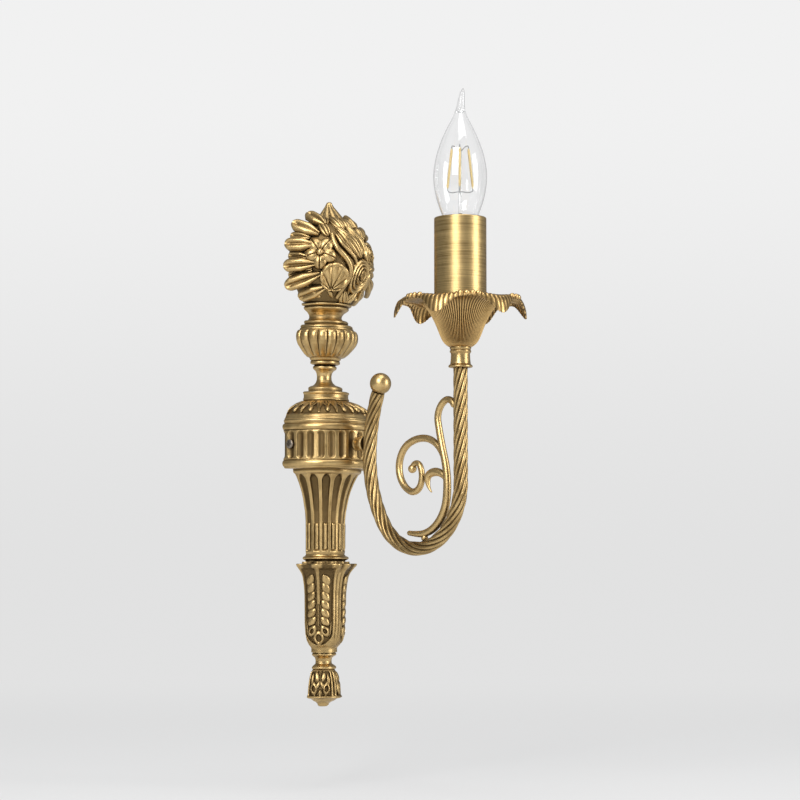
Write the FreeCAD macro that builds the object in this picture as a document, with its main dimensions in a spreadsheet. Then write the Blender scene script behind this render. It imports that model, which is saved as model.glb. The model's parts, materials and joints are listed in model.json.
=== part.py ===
"""Wall torch sconce: a half-round brass column on the wall, a rope-twist arm, a drip pan and a candle lamp.

Frame: +Z is up, the wall is the plane Y = 0 and the room is on the -Y side. The origin is the centre of the
wall bracket's back face, level with the arm's stub. Millimetres.
"""
import FreeCAD, Part
import math
import os
import Sketcher

Vector = FreeCAD.Vector
Rotation = FreeCAD.Rotation

# name, size, what it is
SIZES = [
    # half-round column, from the drum outwards
    ("drum_r", 35.3, "fluted drum, radius of the ridges"),
    ("drum_band", 0.7, "how far the drum's end bands stand out"),
    ("drum_half", 16.5, "half the drum's height"),
    ("drum_wall", 2.6, "drum wall"),
    ("drum_plate", 2.5, "drum roof and floor"),
    ("flute_zone", 10.6, "half the height between the bands"),
    ("flute_half", 7.4, "half the flute's straight length"),
    ("flute_r", 3.0, "flute cutter radius"),
    ("flute_depth", 1.2, "flute depth"),
    ("flute_count", 14, "flutes on the half round"),
    ("flute_pitch", 12, "degrees between flutes"),
    ("dome_height", 14, "domed cover over the drum"),
    ("dome_r", 35.0, "dome, radius at its foot"),
    ("dome_top_r", 18.2, "dome, radius at its top"),
    ("dome_wall", 2.4, "dome wall"),
    ("collar_height", 10.7, "collar on the dome"),
    ("collar_r", 18, "collar, main radius"),
    ("collar_disc_r", 12.8, "collar, upper disc"),
    ("neck_height", 17.6, "spindle neck under the urn"),
    ("neck_r", 5.9, "spindle neck, narrowest"),
    ("neck_bead_r", 9.0, "spindle neck, bead"),
    ("neck_cap_r", 11.6, "spindle neck, upper flange"),
    ("urn_height", 21.9, "gadrooned urn"),
    ("urn_r", 24.4, "urn, widest"),
    ("urn_foot_r", 12.0, "urn, foot"),
    ("urn_lobes", 11, "gadroons on the half round"),
    ("urn_groove", 1.6, "gadroon groove depth"),
    ("ring_height", 5.6, "stepped rings over the urn"),
    ("ring_r", 20.4, "lower ring"),
    ("ring_upper_r", 17.0, "upper ring"),
    ("throat_height", 11.8, "waisted throat under the flower head"),
    ("throat_r", 12.6, "throat, narrowest"),
    ("throat_top_r", 19.6, "throat, top rim"),
    ("head_r", 34.6, "flower head, radius of the half ball"),
    ("head_seat_r", 18.4, "flower head, radius of its seat"),
    ("head_petals", 6, "leaf fingers along each side of the flower head"),
    ("petal_reach", 38.7, "leaf fingers, tip radius"),
    ("petal_r", 3.4, "leaf fingers, half thickness"),
    ("bud_rise", 42.6, "top bud's tip above the head's centre"),
    ("flare_height", 58.7, "fluted shaft under the drum"),
    ("flare_top_r", 26.6, "shaft, top"),
    ("flare_r", 15.4, "shaft, lower part"),
    ("flare_flutes", 8, "flutes on the half round"),
    ("flare_groove", 1.3, "shaft flute depth"),
    ("knop_height", 4.6, "ring between the shaft and the leaf cup"),
    ("knop_r", 18, "ring radius"),
    ("cup_height", 62.1, "leaf cup"),
    ("cup_r", 15.4, "leaf cup, body"),
    ("cup_rim_r", 23.3, "leaf cup, flared rim"),
    ("cup_groove", 0.9, "depth of the cup's leaf panels"),
    ("tail_height", 11.7, "spindle under the cup"),
    ("tail_r", 6.3, "spindle, narrowest"),
    ("tail_bead_r", 9.4, "spindle, bead"),
    ("drop_height", 25.2, "drop finial"),
    ("drop_r", 14.2, "drop finial, widest"),
    ("tie_r", 1.5, "tie rod radius"),
    ("tie_offset", 2.95, "tie rod axis in front of the wall"),
    ("tie_grip", 5.5, "tie rod length inside the drum"),
    ("tie_bite", 18, "tie rod depth in the end castings"),
    ("clearance", 0.15, "radial clearance of a rod, screw or nipple in its hole"),
    ("nut_flat", 2.75, "tie nut, half across flats"),
    ("nut_height", 2.4, "tie nut"),
    ("washer_r", 3.5, "tie washer"),
    ("washer_height", 0.8, "washers"),
    # wall bracket and what is in the drum
    ("bracket_half", 30, "bracket, half its width over the ears"),
    ("bracket_height", 16, "bracket height"),
    ("bracket_steel", 1.5, "bracket sheet"),
    ("ear_depth", 12, "ears, from the wall"),
    ("slot_spacing", 40, "wall slots, centre to centre"),
    ("slot_r", 2.25, "wall slots, half width"),
    ("slot_length", 9, "wall slots, end to end"),
    ("cable_r", 4.5, "cable hole in the bracket"),
    ("grommet_lip", 1.6, "grommet lip beyond the hole"),
    ("screw_y", 7.4, "side screws, axis in front of the wall"),
    ("screw_r", 1.9, "side screws, shank"),
    ("screw_head_r", 3.2, "side screws, head"),
    ("screw_head", 1.6, "side screws, head height"),
    ("block_length", 20, "terminal block"),
    ("block_width", 11, "terminal block"),
    ("block_height", 9, "terminal block"),
    # arm
    ("stub_r", 3.3, "stub tube that carries the arm"),
    ("stub_bore_r", 2.1, "stub bore for the lead"),
    ("stub_boss_r", 5.3, "stub boss against the arm"),
    ("stub_boss", 3.2, "stub boss length"),
    ("stub_tail", 8, "stub length inside the drum"),
    ("stub_nut_flat", 5.0, "stub nut, half across flats"),
    ("stub_nut_height", 3.2, "stub nut"),
    ("stub_washer_r", 6.2, "stub washer"),
    ("rope_r", 4.7, "arm rod over its strands"),
    ("rope_groove", 0.75, "depth between strands"),
    ("rope_strands", 8, "strands"),
    ("rope_lead", 76, "rod length in which a strand turns once"),
    ("arm_reach", 139.2, "candle axis in front of the wall"),
    ("arm_foot", 49.5, "arm's nearest run in front of the wall"),
    ("arm_drop", 71.2, "arm's lowest point under the stub"),
    ("arm_top", 45.5, "arm's candle end above the stub"),
    ("outer_bend_r", 42.8, "bend under the candle"),
    ("inner_bend_r", 40, "bend on the wall side, low part"),
    ("inner_bend_turn", 55, "degrees of that bend"),
    ("lean_r", 113, "slow curve of the free end"),
    ("lean_turn", 22.5, "degrees of that curve"),
    ("ball_r", 7.25, "ball on the free end"),
    ("scroll_r", 2.35, "scroll rod"),
    ("scroll_tip_r", 1.1, "scroll rod at its tips"),
    ("bead_r", 2.2, "bead between the scroll and the arm"),
    # candle stack
    ("spool_height", 13.3, "spool under the drip pan"),
    ("spool_r", 7.9, "spool, lower flange"),
    ("spool_waist_r", 6.2, "spool, waist"),
    ("spool_top_r", 6.9, "spool, top"),
    ("nipple_r", 4, "threaded nipple"),
    ("nipple_length", 27, "threaded nipple"),
    ("pan_sheet", 0.9, "drip pan sheet"),
    ("pan_foot_r", 7.3, "drip pan, flat foot"),
    ("pan_crest_r", 39.5, "drip pan, crest"),
    ("pan_crest", 32.9, "drip pan, crest above its foot"),
    ("pan_tip_r", 43.8, "drip pan, leaf tips"),
    ("pan_tip_drop", 12, "drip pan, how far the leaf tips hang below the crest"),
    ("pan_leaves", 6, "drip pan leaves"),
    ("pan_ribs", 5, "ribs on each leaf"),
    ("pan_rib", 0.35, "rib height"),
    ("pan_nut_flat", 5.6, "pan nut, half across flats"),
    ("pan_nut_height", 3.2, "pan nut"),
    ("sleeve_r", 17, "candle sleeve"),
    ("sleeve_wall", 0.8, "candle sleeve wall"),
    ("sleeve_top", 143.1, "candle sleeve's rim above the stub"),
    ("sleeve_length", 63.4, "candle sleeve"),
    ("holder_foot_r", 6.6, "lamp holder, threaded foot"),
    ("holder_foot", 10, "lamp holder, foot length"),
    ("holder_r", 13, "lamp holder body"),
    ("holder_length", 66.1, "lamp holder with its foot"),
    ("socket_r", 7.95, "lamp holder well"),
    ("socket_depth", 24, "lamp holder well"),
    ("shell_r", 7.15, "screw shell, bore"),
    ("shell_wall", 0.6, "screw shell wall"),
    ("shell_length", 15, "screw shell"),
    ("cap_r", 6.8, "lamp cap"),
    ("cap_wall", 0.5, "lamp cap wall"),
    ("cap_length", 16, "lamp cap, threaded part"),
    ("cap_flare", 3, "lamp cap, flared top"),
    ("cap_flare_r", 8.2, "lamp cap, flared top radius"),
    ("cap_glass_r", 3, "black glass insulator, lower radius"),
    ("cap_glass", 2.2, "black glass insulator"),
    ("tip_r", 2.4, "lamp tip contact"),
    ("tip_height", 0.9, "lamp tip contact"),
    ("contact_gap", 0.3, "gap under the tip contact in the model"),
    ("bulb_r", 17.5, "lamp glass, widest"),
    ("bulb_neck_r", 8.0, "lamp glass at the cap"),
    ("bulb_length", 96.5, "lamp glass with its flame tip"),
    ("bulb_wall", 0.7, "lamp glass wall"),
    ("stem_r", 3.2, "glass stem, foot"),
    ("stem_rod_r", 1.1, "glass stem, thin rod"),
    ("stem_length", 56.5, "glass stem"),
    ("filament_length", 26, "filament sticks"),
    ("filament_r", 0.8, "filament sticks"),
    ("filament_rise", 30.5, "filament sticks' lower ends above the glass foot"),
    ("filament_foot_r", 8.3, "filament circle at the bottom"),
    ("filament_top_r", 5.4, "filament circle at the top"),
    ("filament_count", 4, "filament sticks"),
    ("wire_r", 0.35, "filament wires"),
]
SIZE = {name: value for name, value, meaning in SIZES}

doc = FreeCAD.newDocument("torch_sconce")
sheet = doc.addObject("Spreadsheet::Sheet", "sizes")
for row, (name, value, meaning) in enumerate(SIZES, start=1):
    sheet.set("A%d" % row, meaning)
    sheet.set("B%d" % row, str(value))
    sheet.setAlias("B%d" % row, name)
doc.recompute()

parts = []


def number(text):
    """Value of a sum such as "drum_r - drum_wall + 0.5*tie_r"."""
    total = 0.0
    sign = 1
    for word in text.split():
        if word in "+-":
            sign = 1 if word == "+" else -1
            continue
        product = 1.0
        for factor in word.split("*"):
            product *= SIZE[factor] if factor in SIZE else float(factor)
        total += sign * product
    return total


def formula(text):
    """The same sum as an expression on the sheet."""
    words = []
    for word in text.split():
        words.append("*".join("sizes." + f if f in SIZE else f for f in word.split("*")))
    return " ".join(words)


def bind(thing, prop, text, unit="mm"):
    """Tie one length or angle of an object to the sheet."""
    thing.setExpression(prop, "(%s) * 1 %s" % (formula(text), unit))


def place(thing, x="0", y="0", z="0", rotation=None):
    """Set an object's Placement, with its position tied to the sheet."""
    thing.Placement = FreeCAD.Placement(Vector(number(x), number(y), number(z)), rotation or Rotation())
    for axis, text in (("x", x), ("y", y), ("z", z)):
        bind(thing, "Placement.Base." + axis, text)


def keep(thing, label):
    thing.Label = label
    parts.append(thing)
    return thing


# ---------------------------------------------------------------- sketches and turned pieces

def plane(body, role):
    return next(f for f in body.Origin.OriginFeatures if f.Role == role)


def outline(body, name, role, corners):
    """Closed sketch of straight lines whose corners are (across, up) sums of sheet names."""
    sketch = body.newObject("Sketcher::SketchObject", name)
    sketch.AttachmentSupport = [(plane(body, role), "")]
    sketch.MapMode = "FlatFace"
    points = [Vector(number(u), number(v), 0) for u, v in corners]
    lines = []
    for i, point in enumerate(points):
        lines.append(sketch.addGeometry(Part.LineSegment(point, points[(i + 1) % len(points)]), False))
    for i in range(len(points)):
        sketch.addConstraint(Sketcher.Constraint("Coincident", lines[i], 2, lines[(i + 1) % len(points)], 1))
    for i, (u, v) in enumerate(corners):
        for kind, text, axis in (("DistanceX", u, -2), ("DistanceY", v, -1)):
            if abs(number(text)) < 1e-9:
                sketch.addConstraint(Sketcher.Constraint("PointOnObject", lines[i], 1, axis))
                continue
            index = sketch.addConstraint(Sketcher.Constraint(kind, lines[i], 1, number(text)))
            bind(sketch, "Constraints[%d]" % index, text)
    return sketch


def circle(body, name, role, radius, across="0", up="0"):
    """Sketch of one circle."""
    sketch = body.newObject("Sketcher::SketchObject", name)
    sketch.AttachmentSupport = [(plane(body, role), "")]
    sketch.MapMode = "FlatFace"
    centre = Vector(number(across), number(up), 0)
    ring = sketch.addGeometry(Part.Circle(centre, Vector(0, 0, 1), number(radius)), False)
    index = sketch.addConstraint(Sketcher.Constraint("Radius", ring, number(radius)))
    bind(sketch, "Constraints[%d]" % index, radius)
    for kind, text, axis in (("DistanceX", across, -2), ("DistanceY", up, -1)):
        if abs(number(text)) < 1e-9:
            sketch.addConstraint(Sketcher.Constraint("PointOnObject", ring, 3, axis))
            continue
        index = sketch.addConstraint(Sketcher.Constraint(kind, ring, 3, number(text)))
        bind(sketch, "Constraints[%d]" % index, text)
    return sketch


def through(body, sketch):
    """Cut a sketch right through the body, and make sure that it cut something."""
    doc.recompute()
    before = body.Shape.Volume
    pocket = body.newObject("PartDesign::Pocket", sketch.Name + "_cut")
    pocket.Profile = sketch
    pocket.Type = "ThroughAll"
    pocket.SideType = "Symmetric"
    doc.recompute()
    if not body.Shape.Volume < before - 0.01:
        raise ValueError("nothing was cut by " + sketch.Name)
    return pocket


def turned(label, corners, base="0", degrees=360, y="0"):
    """Body turned about its own Z axis from (radius, height) corners. A half turn faces the room."""
    body = doc.addObject("PartDesign::Body", label)
    sketch = outline(body, label + "_profile", "XZ_Plane", corners)
    turn = body.newObject("PartDesign::Revolution", label + "_turn")
    turn.Profile = (sketch, [""])
    turn.ReferenceAxis = (sketch, ["V_Axis"])
    turn.Angle = degrees
    turn.Reversed = True
    place(body, y=y, z=base)
    return keep(body, label)


def tube(label, outer, inner, base, height, y="0"):
    """Plain round tube along Z."""
    return turned(label, [(inner, "0"), (outer, "0"), (outer, height), (inner, height)], base, y=y)


# ---------------------------------------------------------------- ribbed and swept pieces

def skin(rings, closed=False):
    """Solid with flat faces over rings of points. closed joins the last ring to the first."""
    faces = []
    count = len(rings[0])
    spans = len(rings) if closed else len(rings) - 1
    for j in range(spans):
        low = rings[j]
        high = rings[(j + 1) % len(rings)]
        for i in range(count):
            k = (i + 1) % count
            corners = [low[i], low[k], high[k], high[i]]
            normal = (corners[1] - corners[0]).cross(corners[3] - corners[0])
            flat = normal.Length > 1e-9 and abs((corners[2] - corners[0]).dot(normal)) < 1e-6 * normal.Length
            if flat:
                faces.append(Part.Face(Part.makePolygon(corners + corners[:1])))
            else:
                faces.append(Part.Face(Part.makePolygon([low[i], low[k], high[k], low[i]])))
                faces.append(Part.Face(Part.makePolygon([low[i], high[k], high[i], low[i]])))
    if not closed:
        for ring in (rings[0], rings[-1]):
            faces.append(Part.Face(Part.makePolygon(ring + ring[:1])))
    shell = Part.makeShell(faces)
    shell.sewShape()
    solid = Part.makeSolid(shell)
    if solid.Volume < 0:
        solid.reverse()
    return solid


def feature(label, shape, y="0", z="0"):
    """Sub-part whose shape comes from the functions above."""
    thing = doc.addObject("Part::Feature", label)
    thing.Shape = shape
    place(thing, y=y, z=z)
    return keep(thing, label)


def half_ring(radius, height, steps, groove=0.0, phase=0):
    """Half ring of points on the room side. Every second point may lie deeper, as between lobes."""
    points = []
    for i in range(steps + 1):
        angle = math.pi + math.pi * i / steps
        r = radius - (groove if i % 2 == phase else 0.0)
        points.append(Vector(r * math.cos(angle), r * math.sin(angle), height))
    return points


def half_lathe(corners, steps=20):
    """Half-round solid of flat facets from (radius, height) corners that start and end on the axis."""
    return skin([half_ring(number(r), number(z), steps) for r, z in corners if number(r) > 0])


def lathe(corners, sides=16, hollow=False):
    """Round solid of flat facets. A hollow one has a profile that goes round and never meets the axis."""
    rings = []
    for r, z in corners:
        radius, height = number(r), number(z)
        if radius > 0:
            angles = [2 * math.pi * i / sides for i in range(sides)]
            rings.append([Vector(radius * math.cos(a), radius * math.sin(a), height) for a in angles])
    return skin(rings, closed=hollow)


def bore(shape, top):
    """Drill a casting for the tie rod from its base up to a height."""
    drill = Part.makeCylinder(number("tie_r + clearance"), top, Vector(0, -SIZE["tie_offset"], 0))
    return shape.cut(drill).removeSplitter()


def trace(start, heading, bends, step):
    """Points and headings of a bent rod in the arm's plane, where out is away from the wall.

    start is (out, up), heading is in degrees from straight out, and each bend is (length, degrees turned).
    """
    out, up = start
    direction = math.radians(heading)
    path = [(out, up, direction)]
    for length, turn in bends:
        pieces = max(1, math.ceil(abs(turn) / step))
        angle = math.radians(turn) / pieces
        chord = length / pieces
        if angle:
            chord *= math.sin(angle / 2) / (angle / 2)
        for i in range(pieces):
            direction += angle / 2
            out += chord * math.cos(direction)
            up += chord * math.sin(direction)
            direction += angle / 2
            path.append((out, up, direction))
    return path


def across(point, direction, offset, side):
    """A point beside the rod's axis: offset square to it in the arm's plane, side along X."""
    out = point[0] - offset * math.sin(direction)
    up = point[1] + offset * math.cos(direction)
    return Vector(side, -out, up)


def rod_ring(node, radius, sides, twist=0.0, groove=0.0):
    """Section of a rod at one point of its path."""
    ring = []
    for i in range(sides):
        angle = 2 * math.pi * i / sides + twist
        r = radius - (groove if i % 2 else 0.0)
        ring.append(across(node[:2], node[2], r * math.cos(angle), r * math.sin(angle)))
    return ring


def tapered_rod(path, radius, start_radius, end_radius, sides):
    """Rod along a path, thinner towards each end."""
    rings = []
    for i, node in enumerate(path):
        share = i / (len(path) - 1)
        swell = math.sin(math.pi * share) ** 0.5 if 0 < share < 1 else 0.0
        thin = start_radius + (end_radius - start_radius) * share
        rings.append(rod_ring(node, thin + (radius - thin) * swell, sides))
    return skin(rings)


# ---------------------------------------------------------------- fasteners

def prism(radius, sides, height):
    """Upright prism with its corners on a circle."""
    angles = [2 * math.pi * i / sides for i in range(sides)]
    points = [Vector(radius * math.cos(a), radius * math.sin(a), 0) for a in angles]
    return Part.Face(Part.makePolygon(points + points[:1])).extrude(Vector(0, 0, height))


def hexagon_nut(half_flat, hole, height):
    """Hexagon nut solid standing on Z = 0. The hole's flats clear a rod of the hole's radius."""
    nut = prism(half_flat / math.cos(math.pi / 6), 6, height)
    return nut.cut(prism(hole / math.cos(math.pi / 12), 12, height))


def washer(radius, hole, height):
    return prism(radius, 16, height).cut(prism(hole / math.cos(math.pi / 12), 12, height))


def moved(shape, x=0.0, y=0.0, z=0.0, rotation=None):
    """Copy of a shape in another place."""
    place_there = FreeCAD.Placement(Vector(x, y, z), rotation or Rotation())
    return shape.transformed(place_there.toMatrix(), True)


# ---------------------------------------------------------------- the column above the drum

DRUM_TOP = "drum_half"
DOME_TOP = DRUM_TOP + " + dome_height"
COLLAR_TOP = DOME_TOP + " + collar_height"
NECK_TOP = COLLAR_TOP + " + neck_height"
URN_TOP = NECK_TOP + " + urn_height"
RING_TOP = URN_TOP + " + ring_height"
THROAT_TOP = RING_TOP + " + throat_height"


def make_drum():
    """Hollow fluted drum, open at the wall, with a roof and a floor that the tie rods pass."""
    band = "drum_r + drum_band"
    inner = "drum_r - drum_wall"
    under = "drum_half - drum_plate"
    body = doc.addObject("PartDesign::Body", "drum_casting")
    sketch = outline(body, "drum_profile", "XZ_Plane", [
        ("0", "-1*drum_half"), (band, "-1*drum_half"), (band, "-1*flute_zone"), ("drum_r", "-1*flute_zone"),
        ("drum_r", "flute_zone"), (band, "flute_zone"), (band, "drum_half"), ("0", "drum_half"),
        ("0", under), (inner, under), (inner, "drum_plate - drum_half"), ("0", "drum_plate - drum_half")])
    turn = body.newObject("PartDesign::Revolution", "drum_turn")
    turn.Profile = (sketch, [""])
    turn.ReferenceAxis = (sketch, ["V_Axis"])
    turn.Angle = 180
    turn.Reversed = True
    through(body, circle(body, "drum_tie_hole", "XY_Plane", "tie_r + clearance", up="-1*tie_offset"))
    through(body, circle(body, "drum_stub_hole", "XZ_Plane", "stub_r + clearance"))
    through(body, circle(body, "drum_screw_hole", "YZ_Plane", "screw_r + clearance", across="-1*screw_y"))
    flutes = []
    out = SIZE["drum_r"] + SIZE["flute_r"] - SIZE["flute_depth"]
    for i in range(int(SIZE["flute_count"])):
        angle = math.radians(SIZE["flute_pitch"] * (i - (SIZE["flute_count"] - 1) / 2) - 90)
        foot = Vector(out * math.cos(angle), out * math.sin(angle), -SIZE["flute_half"])
        flute = prism(SIZE["flute_r"], 8, 2 * SIZE["flute_half"])
        flutes.append(moved(flute, foot.x, foot.y, foot.z, Rotation(Vector(0, 0, 1), math.degrees(angle))))
    cutter = doc.addObject("Part::Feature", "flute_cutters")
    cutter.Shape = Part.makeCompound(flutes)
    drum = doc.addObject("Part::Cut", "drum")
    drum.Base = body
    drum.Tool = cutter
    return keep(drum, "drum_shell")


def make_dome():
    """Domed cover, hollow and open at the wall, with a flat roof under the collar."""
    outside = half_lathe([
        ("dome_r", "0"), ("0.95*dome_r", "0.3*dome_height"), ("0.85*dome_r", "0.7*dome_height"),
        ("0.67*dome_r", "0.9*dome_height"), ("dome_top_r", "dome_height")])
    inside = half_lathe([
        ("dome_r - dome_wall", "0"), ("0.78*dome_r", "0.5*dome_height"),
        ("dome_top_r - dome_wall", "dome_height - dome_wall")])
    feature("drum_dome", bore(outside.cut(inside), SIZE["dome_height"]), z=DRUM_TOP)


def make_collar():
    collar = half_lathe([
        ("collar_r", "0"), ("collar_r", "0.5*collar_height"), ("collar_disc_r + 1.2", "0.6*collar_height"),
        ("collar_disc_r", "0.6*collar_height"), ("collar_disc_r", "collar_height")])
    feature("dome_collar", bore(collar, SIZE["collar_height"]), z=DOME_TOP)


def make_neck():
    neck = half_lathe([
        ("neck_bead_r + 1.8", "0"), ("neck_r", "0.17*neck_height"), ("neck_r", "0.55*neck_height"),
        ("neck_bead_r", "0.68*neck_height"), ("neck_bead_r", "0.8*neck_height"),
        ("neck_cap_r", "0.86*neck_height"), ("neck_cap_r", "neck_height")], 16)
    feature("spindle_neck", bore(neck, SIZE["neck_height"]), z=COLLAR_TOP)


def make_urn():
    """Gadrooned urn: each lobe meets the next in a groove that follows the urn's side."""
    height = SIZE["urn_height"]
    width = SIZE["urn_r"]
    foot = SIZE["urn_foot_r"]
    steps = 2 * int(SIZE["urn_lobes"])
    rings = []
    for rise in (0.0, 0.2, 0.42, 0.75, 0.9, 1.0):
        bulge = math.sin(math.pi * 0.5 * min(1.0, rise / 0.75))
        radius = foot + (width - foot) * bulge
        if rise > 0.75:
            radius = width * (1.0 - 0.11 * ((rise - 0.75) / 0.25) ** 2)
        rings.append(half_ring(radius, rise * height, steps, SIZE["urn_groove"] * radius / width))
    feature("urn", bore(skin(rings), height), z=NECK_TOP)


def make_rings():
    rings = half_lathe([
        ("ring_r", "0"), ("ring_r", "0.47*ring_height"), ("ring_upper_r", "0.5*ring_height"),
        ("ring_upper_r", "ring_height")])
    feature("urn_rings", bore(rings, SIZE["ring_height"]), z=URN_TOP)


def make_throat():
    throat = half_lathe([
        ("throat_r + 1.5", "0"), ("throat_r", "0.15*throat_height"), ("throat_r", "0.35*throat_height"),
        ("throat_top_r - 1.8", "0.62*throat_height"), ("throat_top_r - 1.8", "0.85*throat_height"),
        ("throat_top_r", "0.88*throat_height"), ("throat_top_r", "throat_height")])
    feature("head_throat", bore(throat, SIZE["throat_height"]), z=RING_TOP)


def make_head():
    """Flower head: half a ball with leaf fingers along its back edge and a bud on top."""
    radius = SIZE["head_r"]
    rise = math.sqrt(radius ** 2 - SIZE["head_seat_r"] ** 2)
    rings = []
    bands = 7
    start = -math.asin(rise / radius)
    stop = math.radians(78)
    for i in range(bands + 1):
        tilt = start + (stop - start) * i / bands
        rings.append(half_ring(radius * math.cos(tilt), rise + radius * math.sin(tilt), 18, 0.9, i % 2))
    ball = skin(rings)
    thick = SIZE["petal_r"]
    pieces = [ball]
    for side in (-1, 1):
        for i in range(int(SIZE["head_petals"])):
            tilt = math.radians(-36 + 20 * i)
            reach = Vector(side * math.cos(tilt), 0, math.sin(tilt))
            width = Vector(-side * math.sin(tilt), 0, math.cos(tilt)) * thick
            foot = reach * (radius * 0.75) + Vector(0, 0, rise)
            tip = reach * SIZE["petal_reach"] + Vector(0, 0, rise)
            deep = Vector(0, -2 * thick, 0)
            knee = foot + (tip - foot) * 0.8
            base_ring = [foot - width, foot - width * 0.6 + deep, foot + width * 0.6 + deep, foot + width]
            knee_ring = [knee - width, knee - width * 0.6 + deep, knee + width * 0.6 + deep, knee + width]
            tip_ring = [tip - width * 0.4, tip - width * 0.3 + deep * 0.5, tip + width * 0.3 + deep * 0.5,
                        tip + width * 0.4]
            pieces.append(skin([base_ring, knee_ring, tip_ring]))
    bud_top = Vector(0, -8.5, rise + SIZE["bud_rise"])
    bud_foot = Vector(0, -9.0, rise + radius * 0.9)
    bud_rings = []
    for centre, size in ((bud_foot, 7.5), ((bud_foot + bud_top) * 0.5, 5.0), (bud_top, 1.2)):
        bud_rings.append([centre + Vector(size * math.cos(a), size * math.sin(a), 0)
                          for a in (math.pi * k / 4 for k in range(8))])
    pieces.append(skin(bud_rings))
    head = pieces[0].multiFuse(pieces[1:])
    feature("flower_head", bore(head, SIZE["tie_bite"]), z=THROAT_TOP)


# ---------------------------------------------------------------- the column below the drum

FLARE_TOP = "-1*drum_half"
FLARE_FOOT = FLARE_TOP + " - flare_height"
KNOP_FOOT = FLARE_FOOT + " - knop_height"
CUP_FOOT = KNOP_FOOT + " - cup_height"
TAIL_FOOT = CUP_FOOT + " - tail_height"
DROP_FOOT = TAIL_FOOT + " - drop_height"


def make_flare():
    """Fluted shaft that flares up to the drum."""
    height = SIZE["flare_height"]
    slim = SIZE["flare_r"]
    wide = SIZE["flare_top_r"]
    steps = 2 * int(SIZE["flare_flutes"])
    rings = []
    for rise in (0.0, 0.45, 0.62, 0.75, 0.86, 0.95):
        swell = max(0.0, (rise - 0.4) / 0.55) ** 2
        radius = slim + (wide - 3.5 - slim) * swell
        rings.append(half_ring(radius, rise * height, steps, SIZE["flare_groove"], 1))
    rings.append(half_ring(wide, 0.955 * height, steps))
    rings.append(half_ring(wide, height, steps))
    feature("fluted_shaft", bore(skin(rings), height), z=FLARE_FOOT)


def make_knop():
    knop = half_lathe([
        ("knop_r - 1", "0"), ("knop_r", "0.3*knop_height"), ("knop_r", "0.7*knop_height"),
        ("knop_r - 1.2", "knop_height")])
    feature("shaft_ring", bore(knop, SIZE["knop_height"]), z=KNOP_FOOT)


def make_cup():
    """Leaf cup: four panels sunk between ribs, under a flared leaf rim."""
    height = SIZE["cup_height"]
    body = SIZE["cup_r"]
    rim = SIZE["cup_rim_r"]
    dip = SIZE["cup_groove"]
    profile = [(0.0, 10.0, 0.0), (0.055, 10.0, 0.0), (0.1, 0.78 * body, 0.3), (0.17, 0.92 * body, 1.0),
               (0.3, body, 1.0), (0.62, body, 1.0), (0.8, 1.08 * body, 0.6), (0.9, 0.8 * rim, 0.0),
               (0.96, rim, -1.4), (0.985, rim, -1.4), (1.0, 0.78 * rim, 0.0)]
    steps = 16
    rings = []
    for rise, radius, depth in profile:
        ring = []
        for i in range(steps + 1):
            angle = math.pi + math.pi * i / steps
            r = radius - dip * depth * math.sin(2 * angle) ** 2
            ring.append(Vector(r * math.cos(angle), r * math.sin(angle), rise * height))
        rings.append(ring)
    feature("leaf_cup", bore(skin(rings), height), z=CUP_FOOT)


def make_tail():
    tail = half_lathe([
        ("tail_bead_r", "0"), ("tail_bead_r", "0.3*tail_height"), ("tail_r", "0.42*tail_height"),
        ("tail_r", "0.62*tail_height"), ("tail_r + 2.6", "tail_height")], 14)
    feature("cup_spindle", bore(tail, SIZE["tail_height"]), z=TAIL_FOOT)


def make_drop():
    """Bell-shaped drop finial with four faces and a small knob."""
    height = SIZE["drop_height"]
    wide = SIZE["drop_r"]
    profile = [(0.0, 0.1 * wide), (0.06, 0.32 * wide), (0.2, 0.55 * wide), (0.235, 0.95 * wide), (0.28, wide),
               (0.55, 0.93 * wide), (0.75, 0.86 * wide), (0.92, 0.7 * wide), (1.0, 0.66 * wide)]
    steps = 12
    rings = []
    for rise, radius in profile:
        ring = []
        for i in range(steps + 1):
            angle = math.pi + math.pi * i / steps
            r = radius * (1 - 0.09 * math.sin(2 * angle) ** 2)
            ring.append(Vector(r * math.cos(angle), r * math.sin(angle), rise * height))
        rings.append(ring)
    drop = skin(rings)
    drill = Part.makeCylinder(number("tie_r + clearance"), SIZE["tie_bite"],
                              Vector(0, -SIZE["tie_offset"], height - SIZE["tie_bite"]))
    feature("drop_finial", drop.cut(drill).removeSplitter(), z=DROP_FOOT)


# ---------------------------------------------------------------- tie rods, bracket and drum interior

def rod(label, radius, height, x="0", y="0", z="0"):
    """Plain round rod along Z."""
    thing = doc.addObject("Part::Cylinder", label)
    bind(thing, "Radius", radius)
    bind(thing, "Height", height)
    place(thing, x, y, z)
    return keep(thing, label)


def bar(start, end, radius, sides):
    """Thin straight bar between two points."""
    return moved(prism(radius, sides, (end - start).Length), start.x, start.y, start.z,
                 Rotation(Vector(0, 0, 1), end - start))


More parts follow.
